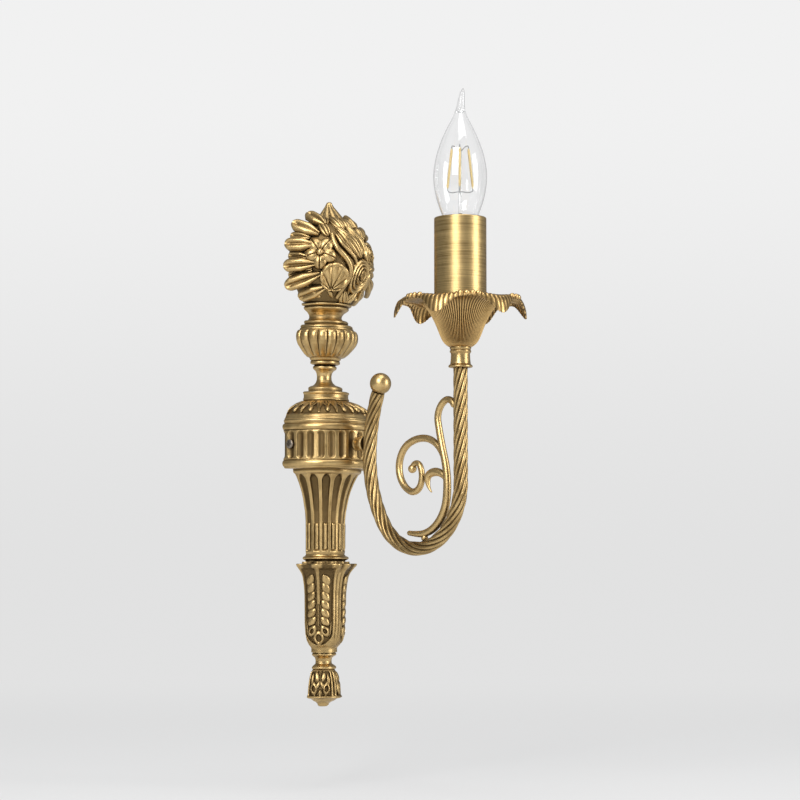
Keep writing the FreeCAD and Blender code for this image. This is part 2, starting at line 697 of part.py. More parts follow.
def make_tie_rods():
    """Threaded rods that hold the castings to the drum's roof and floor, with their nuts and washers."""
    under_roof = number("drum_half - drum_plate")
    over_floor = -under_roof
    y = -SIZE["tie_offset"]
    inside = "drum_plate + tie_grip + tie_bite - 1"
    rod("upper_tie_rod", "tie_r", inside + " + dome_height + collar_height + neck_height + urn_height"
        " + ring_height + throat_height", y="-1*tie_offset", z="drum_half - drum_plate - tie_grip")
    rod("lower_tie_rod", "tie_r", inside + " + flare_height + knop_height + cup_height + tail_height",
        y="-1*tie_offset", z=TAIL_FOOT + " - tie_bite + 1")
    hole = number("tie_r + clearance")
    disc = washer(SIZE["washer_r"] - 0.6, hole, SIZE["washer_height"])
    nut = hexagon_nut(SIZE["nut_flat"], hole, SIZE["nut_height"])
    washers = [moved(disc, y=y, z=under_roof - SIZE["washer_height"]), moved(disc, y=y, z=over_floor)]
    nuts = [moved(nut, y=y, z=under_roof - SIZE["washer_height"] - SIZE["nut_height"]),
            moved(nut, y=y, z=over_floor + SIZE["washer_height"])]
    feature("tie_washers", Part.makeCompound(washers))
    feature("tie_nuts", Part.makeCompound(nuts))


def make_bracket():
    """Folded steel bracket: a plate on the wall with two slots and a cable hole, and a threaded ear each side."""
    body = doc.addObject("PartDesign::Body", "wall_bracket")
    deep = "-1*ear_depth"
    skin_y = "-1*bracket_steel"
    ear = "bracket_half - bracket_steel"
    sketch = outline(body, "bracket_fold", "XY_Plane", [
        ("-1*bracket_half", "0"), ("-1*bracket_half", deep), ("bracket_steel - bracket_half", deep),
        ("bracket_steel - bracket_half", skin_y), (ear, skin_y), (ear, deep), ("bracket_half", deep),
        ("bracket_half", "0")])
    pad = body.newObject("PartDesign::Pad", "bracket_pad")
    pad.Profile = sketch
    pad.SideType = "Symmetric"
    bind(pad, "Length", "bracket_height")
    doc.recompute()
    through(body, circle(body, "bracket_cable_hole", "XZ_Plane", "cable_r"))
    straight = "0.5*slot_length - slot_r"
    for side in ("-", "+"):
        name = "bracket_slot_left" if side == "-" else "bracket_slot_right"
        centre = number("0.5*slot_spacing") * (-1 if side == "-" else 1)
        reach = number(straight)
        sketch = body.newObject("Sketcher::SketchObject", name)
        sketch.AttachmentSupport = [(plane(body, "XZ_Plane"), "")]
        sketch.MapMode = "FlatFace"
        r = SIZE["slot_r"]
        left = Part.ArcOfCircle(Part.Circle(Vector(centre - reach, 0, 0), Vector(0, 0, 1), r), math.pi / 2, 1.5 * math.pi)
        right = Part.ArcOfCircle(Part.Circle(Vector(centre + reach, 0, 0), Vector(0, 0, 1), r), 1.5 * math.pi, 2.5 * math.pi)
        low = Part.LineSegment(Vector(centre - reach, -r, 0), Vector(centre + reach, -r, 0))
        high = Part.LineSegment(Vector(centre + reach, r, 0), Vector(centre - reach, r, 0))
        a, b, c, d = [sketch.addGeometry(g, False) for g in (left, low, right, high)]
        for one, end, two, begin in ((a, 2, b, 1), (b, 2, c, 1), (c, 2, d, 1), (d, 2, a, 1)):
            sketch.addConstraint(Sketcher.Constraint("Tangent", one, end, two, begin))
        sketch.addConstraint(Sketcher.Constraint("PointOnObject", a, 3, -1))
        sketch.addConstraint(Sketcher.Constraint("PointOnObject", c, 3, -1))
        index = sketch.addConstraint(Sketcher.Constraint("Radius", a, r))
        bind(sketch, "Constraints[%d]" % index, "slot_r")
        sign = "-0.5*slot_spacing" if side == "-" else "0.5*slot_spacing"
        for arc, shift in ((a, " - "), (c, " + ")):
            text = sign + shift + "0.5*slot_length" + (" + " if shift == " - " else " - ") + "slot_r"
            index = sketch.addConstraint(Sketcher.Constraint("DistanceX", arc, 3, number(text)))
            bind(sketch, "Constraints[%d]" % index, text)
        through(body, sketch)
    through(body, circle(body, "bracket_screw_hole", "YZ_Plane", "screw_r + clearance", across="-1*screw_y"))
    keep(body, "wall_bracket")


def make_grommet():
    """Rubber grommet in the bracket's cable hole, flush with the wall."""
    hole = "cable_r - 1.2"
    neck = "cable_r - 0.1"
    lip = "cable_r + grommet_lip"
    face = "bracket_steel + 1.2"
    grommet = lathe([(hole, "0"), (neck, "0"), (neck, "bracket_steel"), (lip, "bracket_steel"), (lip, face),
                     (hole, face)], 16, hollow=True)
    feature("cable_grommet", moved(grommet, rotation=Rotation(Vector(1, 0, 0), 90)))


def make_side_screws():
    """Two screws through the drum's sides into the bracket's ears."""
    x = math.sqrt(SIZE["drum_r"] ** 2 - number("screw_y - screw_head_r") ** 2) + 0.05
    reach = x - number("bracket_half - bracket_steel") + 1.0
    shank = moved(prism(SIZE["screw_r"], 12, reach), z=-reach)
    solid = shank.fuse(prism(SIZE["screw_head_r"], 16, SIZE["screw_head"]))
    right = moved(solid, x=x, y=-SIZE["screw_y"], rotation=Rotation(Vector(0, 1, 0), 90))
    left = moved(solid, x=-x, y=-SIZE["screw_y"], rotation=Rotation(Vector(0, 1, 0), -90))
    feature("side_screws", Part.makeCompound([left, right]))


def make_terminal_block():
    """Two-way terminal block on the drum's floor."""
    length, width, height = SIZE["block_length"], SIZE["block_width"], SIZE["block_height"]
    block = Part.makeBox(length, width, height)
    for i in (-1, 1):
        x = length * (0.5 + 0.23 * i)
        block = block.cut(moved(prism(2.1, 8, 4), x=x, y=width / 2, z=height - 4))
        wire = moved(prism(1.6, 8, width), rotation=Rotation(Vector(1, 0, 0), -90))
        block = block.cut(moved(wire, x=x, z=2.6))
    shape = moved(block, x=5, y=-20, z=number("drum_plate - drum_half"))
    feature("terminal_block", shape)


# ---------------------------------------------------------------- arm and scroll

def arm_path(step):
    """Centre line of the arm from the spool down, round under the candle, and up to the free end."""
    reach = SIZE["arm_reach"]
    inner_turn = math.radians(SIZE["inner_bend_turn"])
    straight = number("arm_top + arm_drop - outer_bend_r")
    low_run = SIZE["inner_bend_r"] * math.sin(inner_turn)
    heel_r = (number("arm_reach - outer_bend_r - arm_foot") - low_run) / (1 - math.sin(inner_turn))
    bends = [(straight, 0), (SIZE["outer_bend_r"] * math.pi / 2, -90),
             (SIZE["inner_bend_r"] * inner_turn, -SIZE["inner_bend_turn"]),
             (heel_r * (math.pi / 2 - inner_turn), SIZE["inner_bend_turn"] - 90),
             (SIZE["lean_r"] * math.radians(SIZE["lean_turn"]), -SIZE["lean_turn"])]
    return trace((reach, SIZE["arm_top"]), -90, bends, step)


def make_arm():
    """Rope-twist rod of round sections along the arm's centre line."""
    path = arm_path(7.5)
    rings = [rod_ring(node, SIZE["rope_r"], 16) for node in path]
    feature("rope_arm", skin(rings))
    return path[-1]


def make_ball(end):
    """Ball on the arm's free end, on a flat that sits on the rod."""
    radius = SIZE["ball_r"]
    seat = math.sqrt(radius ** 2 - (0.75 * SIZE["rope_r"]) ** 2)
    out = end[0] + seat * math.cos(end[2])
    up = end[1] + seat * math.sin(end[2])
    rings = []
    bands = 8
    start = -math.acos(0.75 * SIZE["rope_r"] / radius)
    stop = math.radians(84)
    for i in range(bands + 1):
        tilt = start + (stop - start) * i / bands
        along = radius * math.sin(tilt)
        node = (out + along * math.cos(end[2]), up + along * math.sin(end[2]), end[2])
        rings.append(rod_ring(node, radius * math.cos(tilt), 20))
    feature("arm_ball", skin(rings))


def make_scroll():
    """Scroll in the bowl of the arm: a stem with a hook, a large curl and a small curl, cast as one."""
    radius, tip = SIZE["scroll_r"], SIZE["scroll_tip_r"]
    stem = trace((89.4, -60.9), -7, [(9.4, 5), (38.7, 84), (27, 25), (24, -5), (16.3, -74), (10.2, -92)], 15)
    large = trace((124, -14.5), 115.5, [(24, 56), (17.7, 34), (40, 133), (13.2, 91.5), (11.7, 49.5), (10.3, 143)], 19)
    small = trace((125.4, -27), 134, [(17, 70), (5, 70), (9, 45)], 20)
    solid = tapered_rod(stem, radius * 1.08, tip * 1.3, radius * 0.85, 7)
    solid = solid.fuse(tapered_rod(large, radius, radius, tip * 1.5, 7))
    solid = solid.fuse(tapered_rod(small, radius, radius, tip * 0.7, 7))
    feature("scroll", solid)


def make_bead():
    """Bead brazed between the scroll's foot and the arm."""
    out = 104.5
    across_bend = out - number("arm_reach - outer_bend_r")
    arm_axis = number("outer_bend_r - arm_drop") - math.sqrt(SIZE["outer_bend_r"] ** 2 - across_bend ** 2)
    bead = lathe([("0.5*bead_r", "0"), ("bead_r", "0.6"), ("bead_r", "1.7"), ("0.5*bead_r", "2.3")], 12)
    feature("scroll_bead", moved(bead, y=-out, z=arm_axis + SIZE["rope_r"] + 0.38))


def make_stub(arm):
    """Threaded tube from inside the drum to the arm, with a boss at the arm, and its nut and washer."""
    level = min(arm, key=lambda node: abs(node[1]) + (1000 if node[0] > SIZE["arm_reach"] - 20 else 0))
    front = level[0] - SIZE["rope_r"] - 0.15
    back = number("drum_r - drum_wall - stub_tail")
    length = front - back
    tubes = prism(SIZE["stub_r"], 16, length)
    boss = moved(prism(SIZE["stub_boss_r"], 20, SIZE["stub_boss"]), z=length - SIZE["stub_boss"])
    stub = tubes.fuse(boss).cut(prism(SIZE["stub_bore_r"], 12, length))
    feature("arm_stub", moved(stub, y=-back, rotation=Rotation(Vector(1, 0, 0), 90)))
    inside = number("drum_r - drum_wall")
    hole = number("stub_r + clearance")
    sag = inside - math.sqrt(inside ** 2 - SIZE["stub_washer_r"] ** 2)
    plate = washer(SIZE["stub_washer_r"], hole, SIZE["washer_height"])
    nut = hexagon_nut(SIZE["stub_nut_flat"], hole, SIZE["stub_nut_height"])
    spin = Rotation(Vector(1, 0, 0), 90)
    seat = -(inside - sag - SIZE["washer_height"] - 0.05)
    feature("stub_washer", moved(plate, y=seat, rotation=spin))
    feature("stub_nut", moved(nut, y=seat + SIZE["stub_nut_height"], rotation=spin))


# ---------------------------------------------------------------- candle stack

CANDLE = "-1*arm_reach"
SPOOL_TOP = "arm_top + spool_height"
HOLDER_FOOT = SPOOL_TOP + " + pan_sheet + pan_nut_height + 0.4"


def make_spool():
    hole = "nipple_r + clearance"
    spool = lathe([
        (hole, "0"), ("spool_r", "0"), ("spool_r", "0.1*spool_height"), ("spool_r - 1.1", "0.17*spool_height"),
        ("spool_waist_r", "0.5*spool_height"), ("spool_waist_r", "0.7*spool_height"),
        ("spool_top_r", "0.8*spool_height"), ("spool_top_r", "spool_height"), (hole, "spool_height")],
        20, hollow=True)
    feature("candle_spool", spool, y=CANDLE, z="arm_top")


def make_nipple():
    rod("threaded_nipple", "nipple_r", "nipple_length", y=CANDLE, z="arm_top + 0.05")


def make_pan():
    """Drip pan of thin sheet: ribs run up to a crest and over it into drooping leaf tips."""
    sheet_t = SIZE["pan_sheet"]
    crest_r, crest = SIZE["pan_crest_r"], SIZE["pan_crest"]
    foot = SIZE["pan_foot_r"]
    leaves = int(SIZE["pan_leaves"])
    steps = 2 * leaves * int(SIZE["pan_ribs"])
    side = [(foot, 0.0), (11.5, 4.2), (14.4, 11.5), (17.4, 18.2), (21.6, 26.8), (30.0, 31.2), (crest_r, crest)]
    hole = number("nipple_r + clearance")

    def offset(index):
        """Upper-surface partner of an outer profile point."""
        before = side[max(0, index - 1)]
        after = side[min(len(side) - 1, index + 1)]
        run, rise = after[0] - before[0], after[1] - before[1]
        size = math.hypot(run, rise)
        return side[index][0] - sheet_t * rise / size, side[index][1] + sheet_t * run / size

    def ring(radius, height, rib, leaf=0.0, drop=0.0):
        points = []
        for i in range(steps):
            angle = 2 * math.pi * i / steps + math.radians(-4.4) - math.pi / 2
            swell = 0.5 + 0.5 * math.cos(leaves * 2 * math.pi * i / steps)
            r = radius + (rib if i % 2 else -rib) + leaf * (swell - 1)
            points.append(Vector(r * math.cos(angle), r * math.sin(angle), height - drop * swell))
        return points

    rib = SIZE["pan_rib"]
    tip_r, hang = SIZE["pan_tip_r"], SIZE["pan_tip_drop"]
    outer = [ring(hole, 0.0, 0.0)] + [ring(r, h, rib if i else 0.0, 1.5 if i == len(side) - 1 else 0.0)
                                      for i, (r, h) in enumerate(side)]
    lip = [ring(tip_r - 0.9, crest - 3.0, rib, 2.5, hang - 3.0), ring(tip_r, crest - 2.7, 0.0, 2.5, hang - 3.0)]
    inner = []
    for i in range(len(side) - 1, -1, -1):
        r, h = offset(i)
        inner.append(ring(r, h, rib if i else 0.0, 1.5 if i == len(side) - 1 else 0.0))
    inner.append(ring(hole, sheet_t, 0.0))
    feature("drip_pan", skin(outer + lip + inner, closed=True), y=CANDLE, z=SPOOL_TOP)


def make_pan_nut():
    nut = hexagon_nut(SIZE["pan_nut_flat"], number("nipple_r + clearance"), SIZE["pan_nut_height"])
    feature("pan_nut", nut, y=CANDLE, z=SPOOL_TOP + " + pan_sheet + 0.1")


def make_holder():
    """Lamp holder: threaded foot on the nipple, body, and the well for the lamp cap."""
    hole = "nipple_r + clearance"
    well = "holder_length - socket_depth"
    body = lathe([("holder_foot_r", "0"), ("holder_foot_r", "holder_foot"), ("holder_r", "holder_foot + 4"),
                  ("holder_r", "holder_length")], 24)
    body = body.cut(moved(prism(SIZE["socket_r"], 24, SIZE["socket_depth"]), z=number(well)))
    body = body.cut(Part.makeCylinder(number(hole), number("holder_foot + 6")))
    feature("lamp_holder", body, y=CANDLE, z=HOLDER_FOOT)
    well_floor = HOLDER_FOOT + " + holder_length - socket_depth"
    shell = lathe([("shell_r", "0"), ("shell_r + shell_wall", "0"), ("shell_r + shell_wall", "shell_length"),
                   ("shell_r", "shell_length")], 24, hollow=True)
    feature("screw_shell", shell, y=CANDLE, z=well_floor + " + socket_depth - shell_length - 1.5")
    contact = lathe([("1.5", "0"), ("1.5", "3.4"), ("3", "3.4"), ("3", "4.2")], 12)
    feature("centre_contact", contact, y=CANDLE, z=well_floor)


def make_sleeve():
    tube("candle_sleeve", "sleeve_r", "sleeve_r - sleeve_wall", "sleeve_top - sleeve_length", "sleeve_length",
         y=CANDLE)


# ---------------------------------------------------------------- lamp

TIP = HOLDER_FOOT + " + holder_length - socket_depth + 4.2 + contact_gap"
CAP_FOOT = TIP + " + tip_height + cap_glass"
GLASS_FOOT = CAP_FOOT + " + cap_length + cap_flare"


def make_cap():
    """Screw cap of the lamp with its glass insulator and tip contact."""
    feature("lamp_tip_contact", prism(SIZE["tip_r"], 16, SIZE["tip_height"]), y=CANDLE, z=TIP)
    inner = "cap_r - cap_wall"
    cone = lathe([("cap_glass_r", "0"), (inner, "cap_glass")])
    feature("lamp_cap_insulator", cone, y=CANDLE, z=TIP + " + tip_height")
    top = "cap_length + cap_flare"
    cap = lathe([(inner, "0"), ("cap_r", "0"), ("cap_r", "cap_length"), ("cap_flare_r", top),
                 ("cap_flare_r - cap_wall", top), (inner, "cap_length")], 24, hollow=True)
    feature("lamp_cap", cap, y=CANDLE, z=CAP_FOOT)


def make_glass():
    """Flame-tip glass envelope, hollow, of turned facets."""
    length, wide, neck = SIZE["bulb_length"], SIZE["bulb_r"], SIZE["bulb_neck_r"]
    wall = SIZE["bulb_wall"]
    sides = 24
    profile = [(0.0, neck), (0.12, 0.66 * wide), (0.235, 0.9 * wide), (0.39, wide), (0.485, 0.945 * wide),
               (0.61, 0.7 * wide), (0.735, 0.4 * wide), (0.84, 0.13 * wide), (0.96, 0.12 * wide), (1.0, 0.03 * wide)]

    def ring(radius, height):
        return [Vector(radius * math.cos(2 * math.pi * i / sides), radius * math.sin(2 * math.pi * i / sides), height)
                for i in range(sides)]

    outside = [ring(r, share * length) for share, r in profile]
    inside = [ring(r - wall, share * length) for share, r in profile[:7]]
    inside.append(ring(0.5, 0.8 * length))
    feature("lamp_glass", skin(inside[::-1] + outside), y=CANDLE, z=GLASS_FOOT)


def make_lamp_inside():
    """Glass stem in the neck and four filament sticks round it."""
    stem = lathe([("bulb_neck_r - bulb_wall - 0.2", "0"), ("stem_r", "4"), ("stem_r", "10"),
                  ("stem_rod_r", "14"), ("stem_rod_r", "stem_length")], 12)
    feature("lamp_stem", stem, y=CANDLE, z=GLASS_FOOT + " + 0.1")
    sticks = []
    wires = []
    for i in range(int(SIZE["filament_count"])):
        angle = math.radians(45 + 360 / SIZE["filament_count"] * i)
        around = Vector(math.cos(angle), math.sin(angle), 0)
        low = around * SIZE["filament_foot_r"] + Vector(0, 0, SIZE["filament_rise"])
        top = around * SIZE["filament_top_r"] + Vector(0, 0, number("filament_rise + filament_length"))
        sticks.append(bar(low, top, SIZE["filament_r"], 6))
        for end, lift in ((low, -1), (top, 1)):
            from_stem = around * number("stem_rod_r + 0.1") + Vector(0, 0, min(end.z + 2 * lift, SIZE["stem_length"] - 1))
            wires.append(bar(from_stem, end + Vector(0, 0, 0.6 * lift), SIZE["wire_r"], 4))
    feature("lamp_filaments", Part.makeCompound(sticks), y=CANDLE, z=GLASS_FOOT)
    feature("filament_wires", Part.makeCompound(wires), y=CANDLE, z=GLASS_FOOT)


make_drum()
make_dome()
make_collar()
make_neck()
make_urn()
make_rings()
make_throat()
make_head()
make_flare()
make_knop()
make_cup()
make_tail()
make_drop()
make_tie_rods()
make_bracket()
make_grommet()
make_side_screws()
make_terminal_block()
free_end = make_arm()
make_ball(free_end)
make_scroll()
make_bead()
make_stub(arm_path(1))
make_spool()
make_nipple()
make_pan()
make_pan_nut()
make_holder()
make_sleeve()
make_cap()
make_glass()
make_lamp_inside()
doc.recompute()

for thing in doc.Objects:
    if "Invalid" in thing.State or "Error" in thing.State:
        raise ValueError("failed: " + thing.Label)
for part in parts:
    if part.Shape.isNull() or not part.Shape.isValid() or part.Shape.Volume <= 0:
        raise ValueError("bad shape: " + part.Label)

os.makedirs("parts", exist_ok=True)
for part in parts:
    part.Shape.exportStep("parts/" + part.Label + ".step")
print(len(parts), "parts")
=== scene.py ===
"""Looks of the torch sconce: cast and twisted antique brass, a leaf drip pan and a clear flame-tip lamp.

Lengths are in millimetres until a mesh is made. The room is on the -Y side and the wall is the plane Y = 0.
"""
import json
import math

import bpy
import numpy as np
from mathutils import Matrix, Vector


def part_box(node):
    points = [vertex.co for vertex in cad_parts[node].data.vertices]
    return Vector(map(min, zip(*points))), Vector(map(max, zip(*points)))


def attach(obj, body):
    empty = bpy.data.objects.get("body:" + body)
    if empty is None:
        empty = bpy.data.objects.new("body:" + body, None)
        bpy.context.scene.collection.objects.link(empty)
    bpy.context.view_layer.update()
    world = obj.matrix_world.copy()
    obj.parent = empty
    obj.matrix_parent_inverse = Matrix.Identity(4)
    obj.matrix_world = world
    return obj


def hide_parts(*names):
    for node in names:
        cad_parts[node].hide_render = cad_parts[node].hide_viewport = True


MM = 0.001
BUMP_REACH = 0.0002     # metres
BRASS_ROUGHNESS = 0.34
SHARP_ANGLE = 40        # degrees between faces from which an edge is drawn sharp
VIEW_TURN = 41.6        # degrees from the wall's normal to the camera, which is on the left
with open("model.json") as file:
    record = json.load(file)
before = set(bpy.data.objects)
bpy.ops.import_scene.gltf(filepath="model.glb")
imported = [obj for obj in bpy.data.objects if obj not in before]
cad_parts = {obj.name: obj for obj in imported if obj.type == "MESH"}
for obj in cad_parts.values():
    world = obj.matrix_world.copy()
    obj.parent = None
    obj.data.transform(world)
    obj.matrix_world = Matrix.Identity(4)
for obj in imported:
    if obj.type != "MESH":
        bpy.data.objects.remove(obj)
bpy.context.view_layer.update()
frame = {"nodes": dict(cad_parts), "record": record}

BODY_OF = {node: body for body, nodes in frame["record"]["behaviour"]["bodies"].items() for node in nodes}
SLOT_OF = {part["node"]: part["material_slot"] for part in frame["record"]["subparts"]}


def span(node):
    """Lowest Z, highest Z and reach of a CAD node. Its reach is how far it stands from the column's axis."""
    low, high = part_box(node)
    return low.z / MM, high.z / MM, max(-low.y, high.x) / MM


low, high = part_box("candle_sleeve")
CANDLE_Y = (low.y + high.y) / 2 / MM


# ------------ nodes of materials

class Nodes:
    """Short way to write a material's node tree."""

    def __init__(self, name):
        self.material = bpy.data.materials.new(name)
        self.material.use_nodes = True
        self.tree = self.material.node_tree
        self.shader = self.tree.nodes["Principled BSDF"]
        self.place = self.make("ShaderNodeTexCoord").outputs["Object"]

    def make(self, kind, **settings):
        node = self.tree.nodes.new(kind)
        for key, value in settings.items():
            setattr(node, key, value)
        return node

    def link(self, source, target):
        self.tree.links.new(source, target)

    def put(self, socket, value):
        """A socket takes another node's output or a plain value."""
        if isinstance(value, bpy.types.NodeSocket):
            self.link(value, socket)
        else:
            socket.default_value = value

    def stretched(self, x, y, z):
        """Object coordinates scaled along each axis."""
        node = self.make("ShaderNodeMapping")
        node.inputs["Scale"].default_value = (x, y, z)
        self.link(self.place, node.inputs["Vector"])
        return node.outputs["Vector"]

    def set(self, name, value):
        """Give an input of the shader its value."""
        self.put(self.shader.inputs[name], value)

    def noise(self, scale, detail, roughness=0.55, where=None):
        node = self.make("ShaderNodeTexNoise")
        self.put(node.inputs["Vector"], where or self.place)
        for name, value in (("Scale", scale), ("Detail", detail), ("Roughness", roughness)):
            node.inputs[name].default_value = value
        return node.outputs["Fac"]

    def steps(self, value, low, high, bottom=0.0, top=1.0):
        """Smooth change from bottom to top while value goes from low to high."""
        node = self.make("ShaderNodeMapRange", interpolation_type="SMOOTHSTEP")
        self.put(node.inputs["Value"], value)
        for name, number in (("From Min", low), ("From Max", high), ("To Min", bottom), ("To Max", top)):
            node.inputs[name].default_value = number
        return node.outputs["Result"]

    def math(self, kind, a, b=0.0):
        node = self.make("ShaderNodeMath", operation=kind)
        self.put(node.inputs[0], a)
        self.put(node.inputs[1], b)
        return node.outputs[0]

    def blend(self, share, a, b):
        """Mix of two colours."""
        node = self.make("ShaderNodeMix", data_type="RGBA", blend_type="MIX")
        self.put(node.inputs[0], share)
        self.put(node.inputs[6], a)
        self.put(node.inputs[7], b)
        return node.outputs[2]

    def bump(self, height, strength):
        node = self.make("ShaderNodeBump")
        node.inputs["Strength"].default_value = strength
        node.inputs["Distance"].default_value = BUMP_REACH
        self.link(height, node.inputs["Height"])
        self.set("Normal", node.outputs["Normal"])


def colour(red, green, blue):
    """Colour written as sRGB shares, as the eye reads it."""
    shares = (red, green, blue)
    return tuple(c / 12.92 if c <= 0.04045 else ((c + 0.055) / 1.055) ** 2.4 for c in shares) + (1.0,)


def grey(tone):
    return colour(tone, tone, tone)


GOLD = colour(0.80, 0.685, 0.475)
OLIVE = colour(0.60, 0.495, 0.32)
# Umber of the painted shade in the brass's recesses.
SHADE_UMBER = colour(0.27, 0.205, 0.12)


def antique_brass(name, gold=GOLD, olive=OLIVE, hollows=1.0, brushed=None):
    """Brass rubbed bright on its ridges, with painted shade in its hollows: umber where ambient occlusion or
    a piece's hollow mark finds a recess.

    Each piece marks its hollows in an attribute. brushed is how fine the streaks are along each axis.
    """
    n = Nodes(name)
    ridges = n.make("ShaderNodeNewGeometry").outputs["Pointiness"]
    # Painted shade: ambient occlusion within 4.5 mm darkens the colour towards umber in recesses and between
    # parts.
    shade = n.make("ShaderNodeAmbientOcclusion", samples=8)
    shade.inputs["Distance"].default_value = 4.5 * MM
    occluded_shade = n.steps(shade.outputs["AO"], 0.30, 0.92, hollows, 0.0)
    sunk = n.make("ShaderNodeAttribute", attribute_name="hollow").outputs["Fac"]
    cloud = n.noise(95, 5, 0.6)
    uneven = n.math("MULTIPLY", n.math("SUBTRACT", cloud, 0.5), 0.05)
    worn = n.steps(n.math("ADD", ridges, uneven), 0.485, 0.545)
    if brushed:
        streaks = n.noise(1.0, 3, 0.6, n.stretched(*brushed))
        patina = n.blend(n.steps(streaks, 0.3, 0.72), olive, gold)
    else:
        streaks = n.noise(420, 3, 0.6)
        patina = n.blend(n.steps(cloud, 0.3, 0.75), olive, gold)
    rubbed = n.blend(worn, patina, gold)
    # Painted shade also follows each piece's hollow mark, made a little uneven by the cloud.
    sunk = n.math("MULTIPLY", sunk, n.steps(cloud, 0.2, 0.8, 0.68, 0.92))
    depth = n.math("MAXIMUM", occluded_shade, sunk)
    n.set("Base Color", n.blend(depth, rubbed, SHADE_UMBER))
    n.set("Metallic", 1.0)
    rough = n.steps(streaks, 0.3, 0.7, BRASS_ROUGHNESS - 0.05, BRASS_ROUGHNESS + 0.07)
    n.set("Roughness", n.math("ADD", rough, n.math("MULTIPLY", depth, 0.2)))
    n.bump(streaks, 0.25 if brushed else 0.12)
    return n.material


def plain(name, base, roughness, metallic=0.0, grain=300, change=0.12):
    """Even material with fine grain and slight changes of tone."""
    n = Nodes(name)
    grains = n.noise(grain, 3)
    darker = tuple(c * (1 - change) for c in base[:3]) + (1.0,)
    n.set("Base Color", n.blend(n.steps(grains, 0.35, 0.65), darker, base))
    n.set("Roughness", n.steps(grains, 0.3, 0.7, roughness - 0.04, roughness + 0.05))
    n.set("Metallic", metallic)
    n.bump(grains, 0.08)
    return n.material


def clear_glass(name):
    """Thin clear glass, with faint waviness from drawing the tip."""
    n = Nodes(name)
    n.set("Base Color", (1, 1, 1, 1))
    n.set("Transmission Weight", 1.0)
    n.set("IOR", 1.46)
    waves = n.noise(60, 2, 0.4, n.stretched(1, 1, 0.25))
    n.set("Roughness", n.steps(waves, 0.3, 0.7, 0.0, 0.012))
    n.bump(waves, 0.04)
    return n.material


FINISH = {
    "cast_brass": antique_brass("cast brass"),
    "arm_brass": antique_brass("arm brass", hollows=0.9),
    "pan_brass": antique_brass("pan brass", colour(0.84, 0.70, 0.47), colour(0.64, 0.52, 0.32), hollows=0.8),
    "brushed_brass": antique_brass("brushed brass", colour(0.80, 0.69, 0.48), colour(0.55, 0.45, 0.28),
                                   hollows=0.5, brushed=(30, 30, 2200)),
    "contact_brass": plain("contact brass", colour(0.85, 0.7, 0.4), 0.3, 1.0),
    "zinc_steel": plain("zinc plated steel", colour(0.72, 0.72, 0.70), 0.38, 1.0),
    "dark_screw": plain("blackened screw", colour(0.56, 0.52, 0.47), 0.38, 1.0),
    "black_rubber": plain("black rubber", grey(0.12), 0.7),
    "block_plastic": plain("terminal block plastic", colour(0.90, 0.90, 0.87), 0.5, change=0.04),
    "holder_plastic": plain("lamp holder plastic", grey(0.14), 0.45),
    "cap_metal": plain("lamp cap metal", grey(0.80), 0.28, 1.0),
    "cap_glass": plain("insulator glass", grey(0.05), 0.15),
    "clear_glass": clear_glass("clear lamp glass"),
    "filament": plain("filament coating", colour(0.97, 0.86, 0.60), 0.6, grain=900, change=0.1),
    "wire_metal": plain("wire", grey(0.55), 0.35, 1.0),
}


# ------------ shapes

def unit(value):
    """Value held between 0 and 1."""
    return np.clip(value, 0, 1)


def circle(count):
    """Angles round a full turn."""
    return np.linspace(0, 2 * np.pi, count, endpoint=False)


def unit_length(vectors):
    return vectors / np.linalg.norm(vectors, axis=-1)[..., None]


def moved(outline, out=0.0, up=0.0):
    """Outline of (radius, height) points, moved out and up."""
    return [(out + r, up + z) for r, z in outline]


def add_object(name, data):
    thing = bpy.data.objects.new(name, data)
    bpy.context.collection.objects.link(thing)
    return thing


def squares(rows, columns, wrap_rows=False, wrap_columns=False):
    """Faces of a net of points that is rows by columns."""
    i, j = np.meshgrid(np.arange(rows if wrap_rows else rows - 1),
                       np.arange(columns if wrap_columns else columns - 1), indexing="ij")
    i2, j2 = (i + 1) % rows, (j + 1) % columns
    corners = [i * columns + j, i * columns + j2, i2 * columns + j2, i2 * columns + j]
    return np.stack(corners, -1).reshape(-1, 4).tolist()


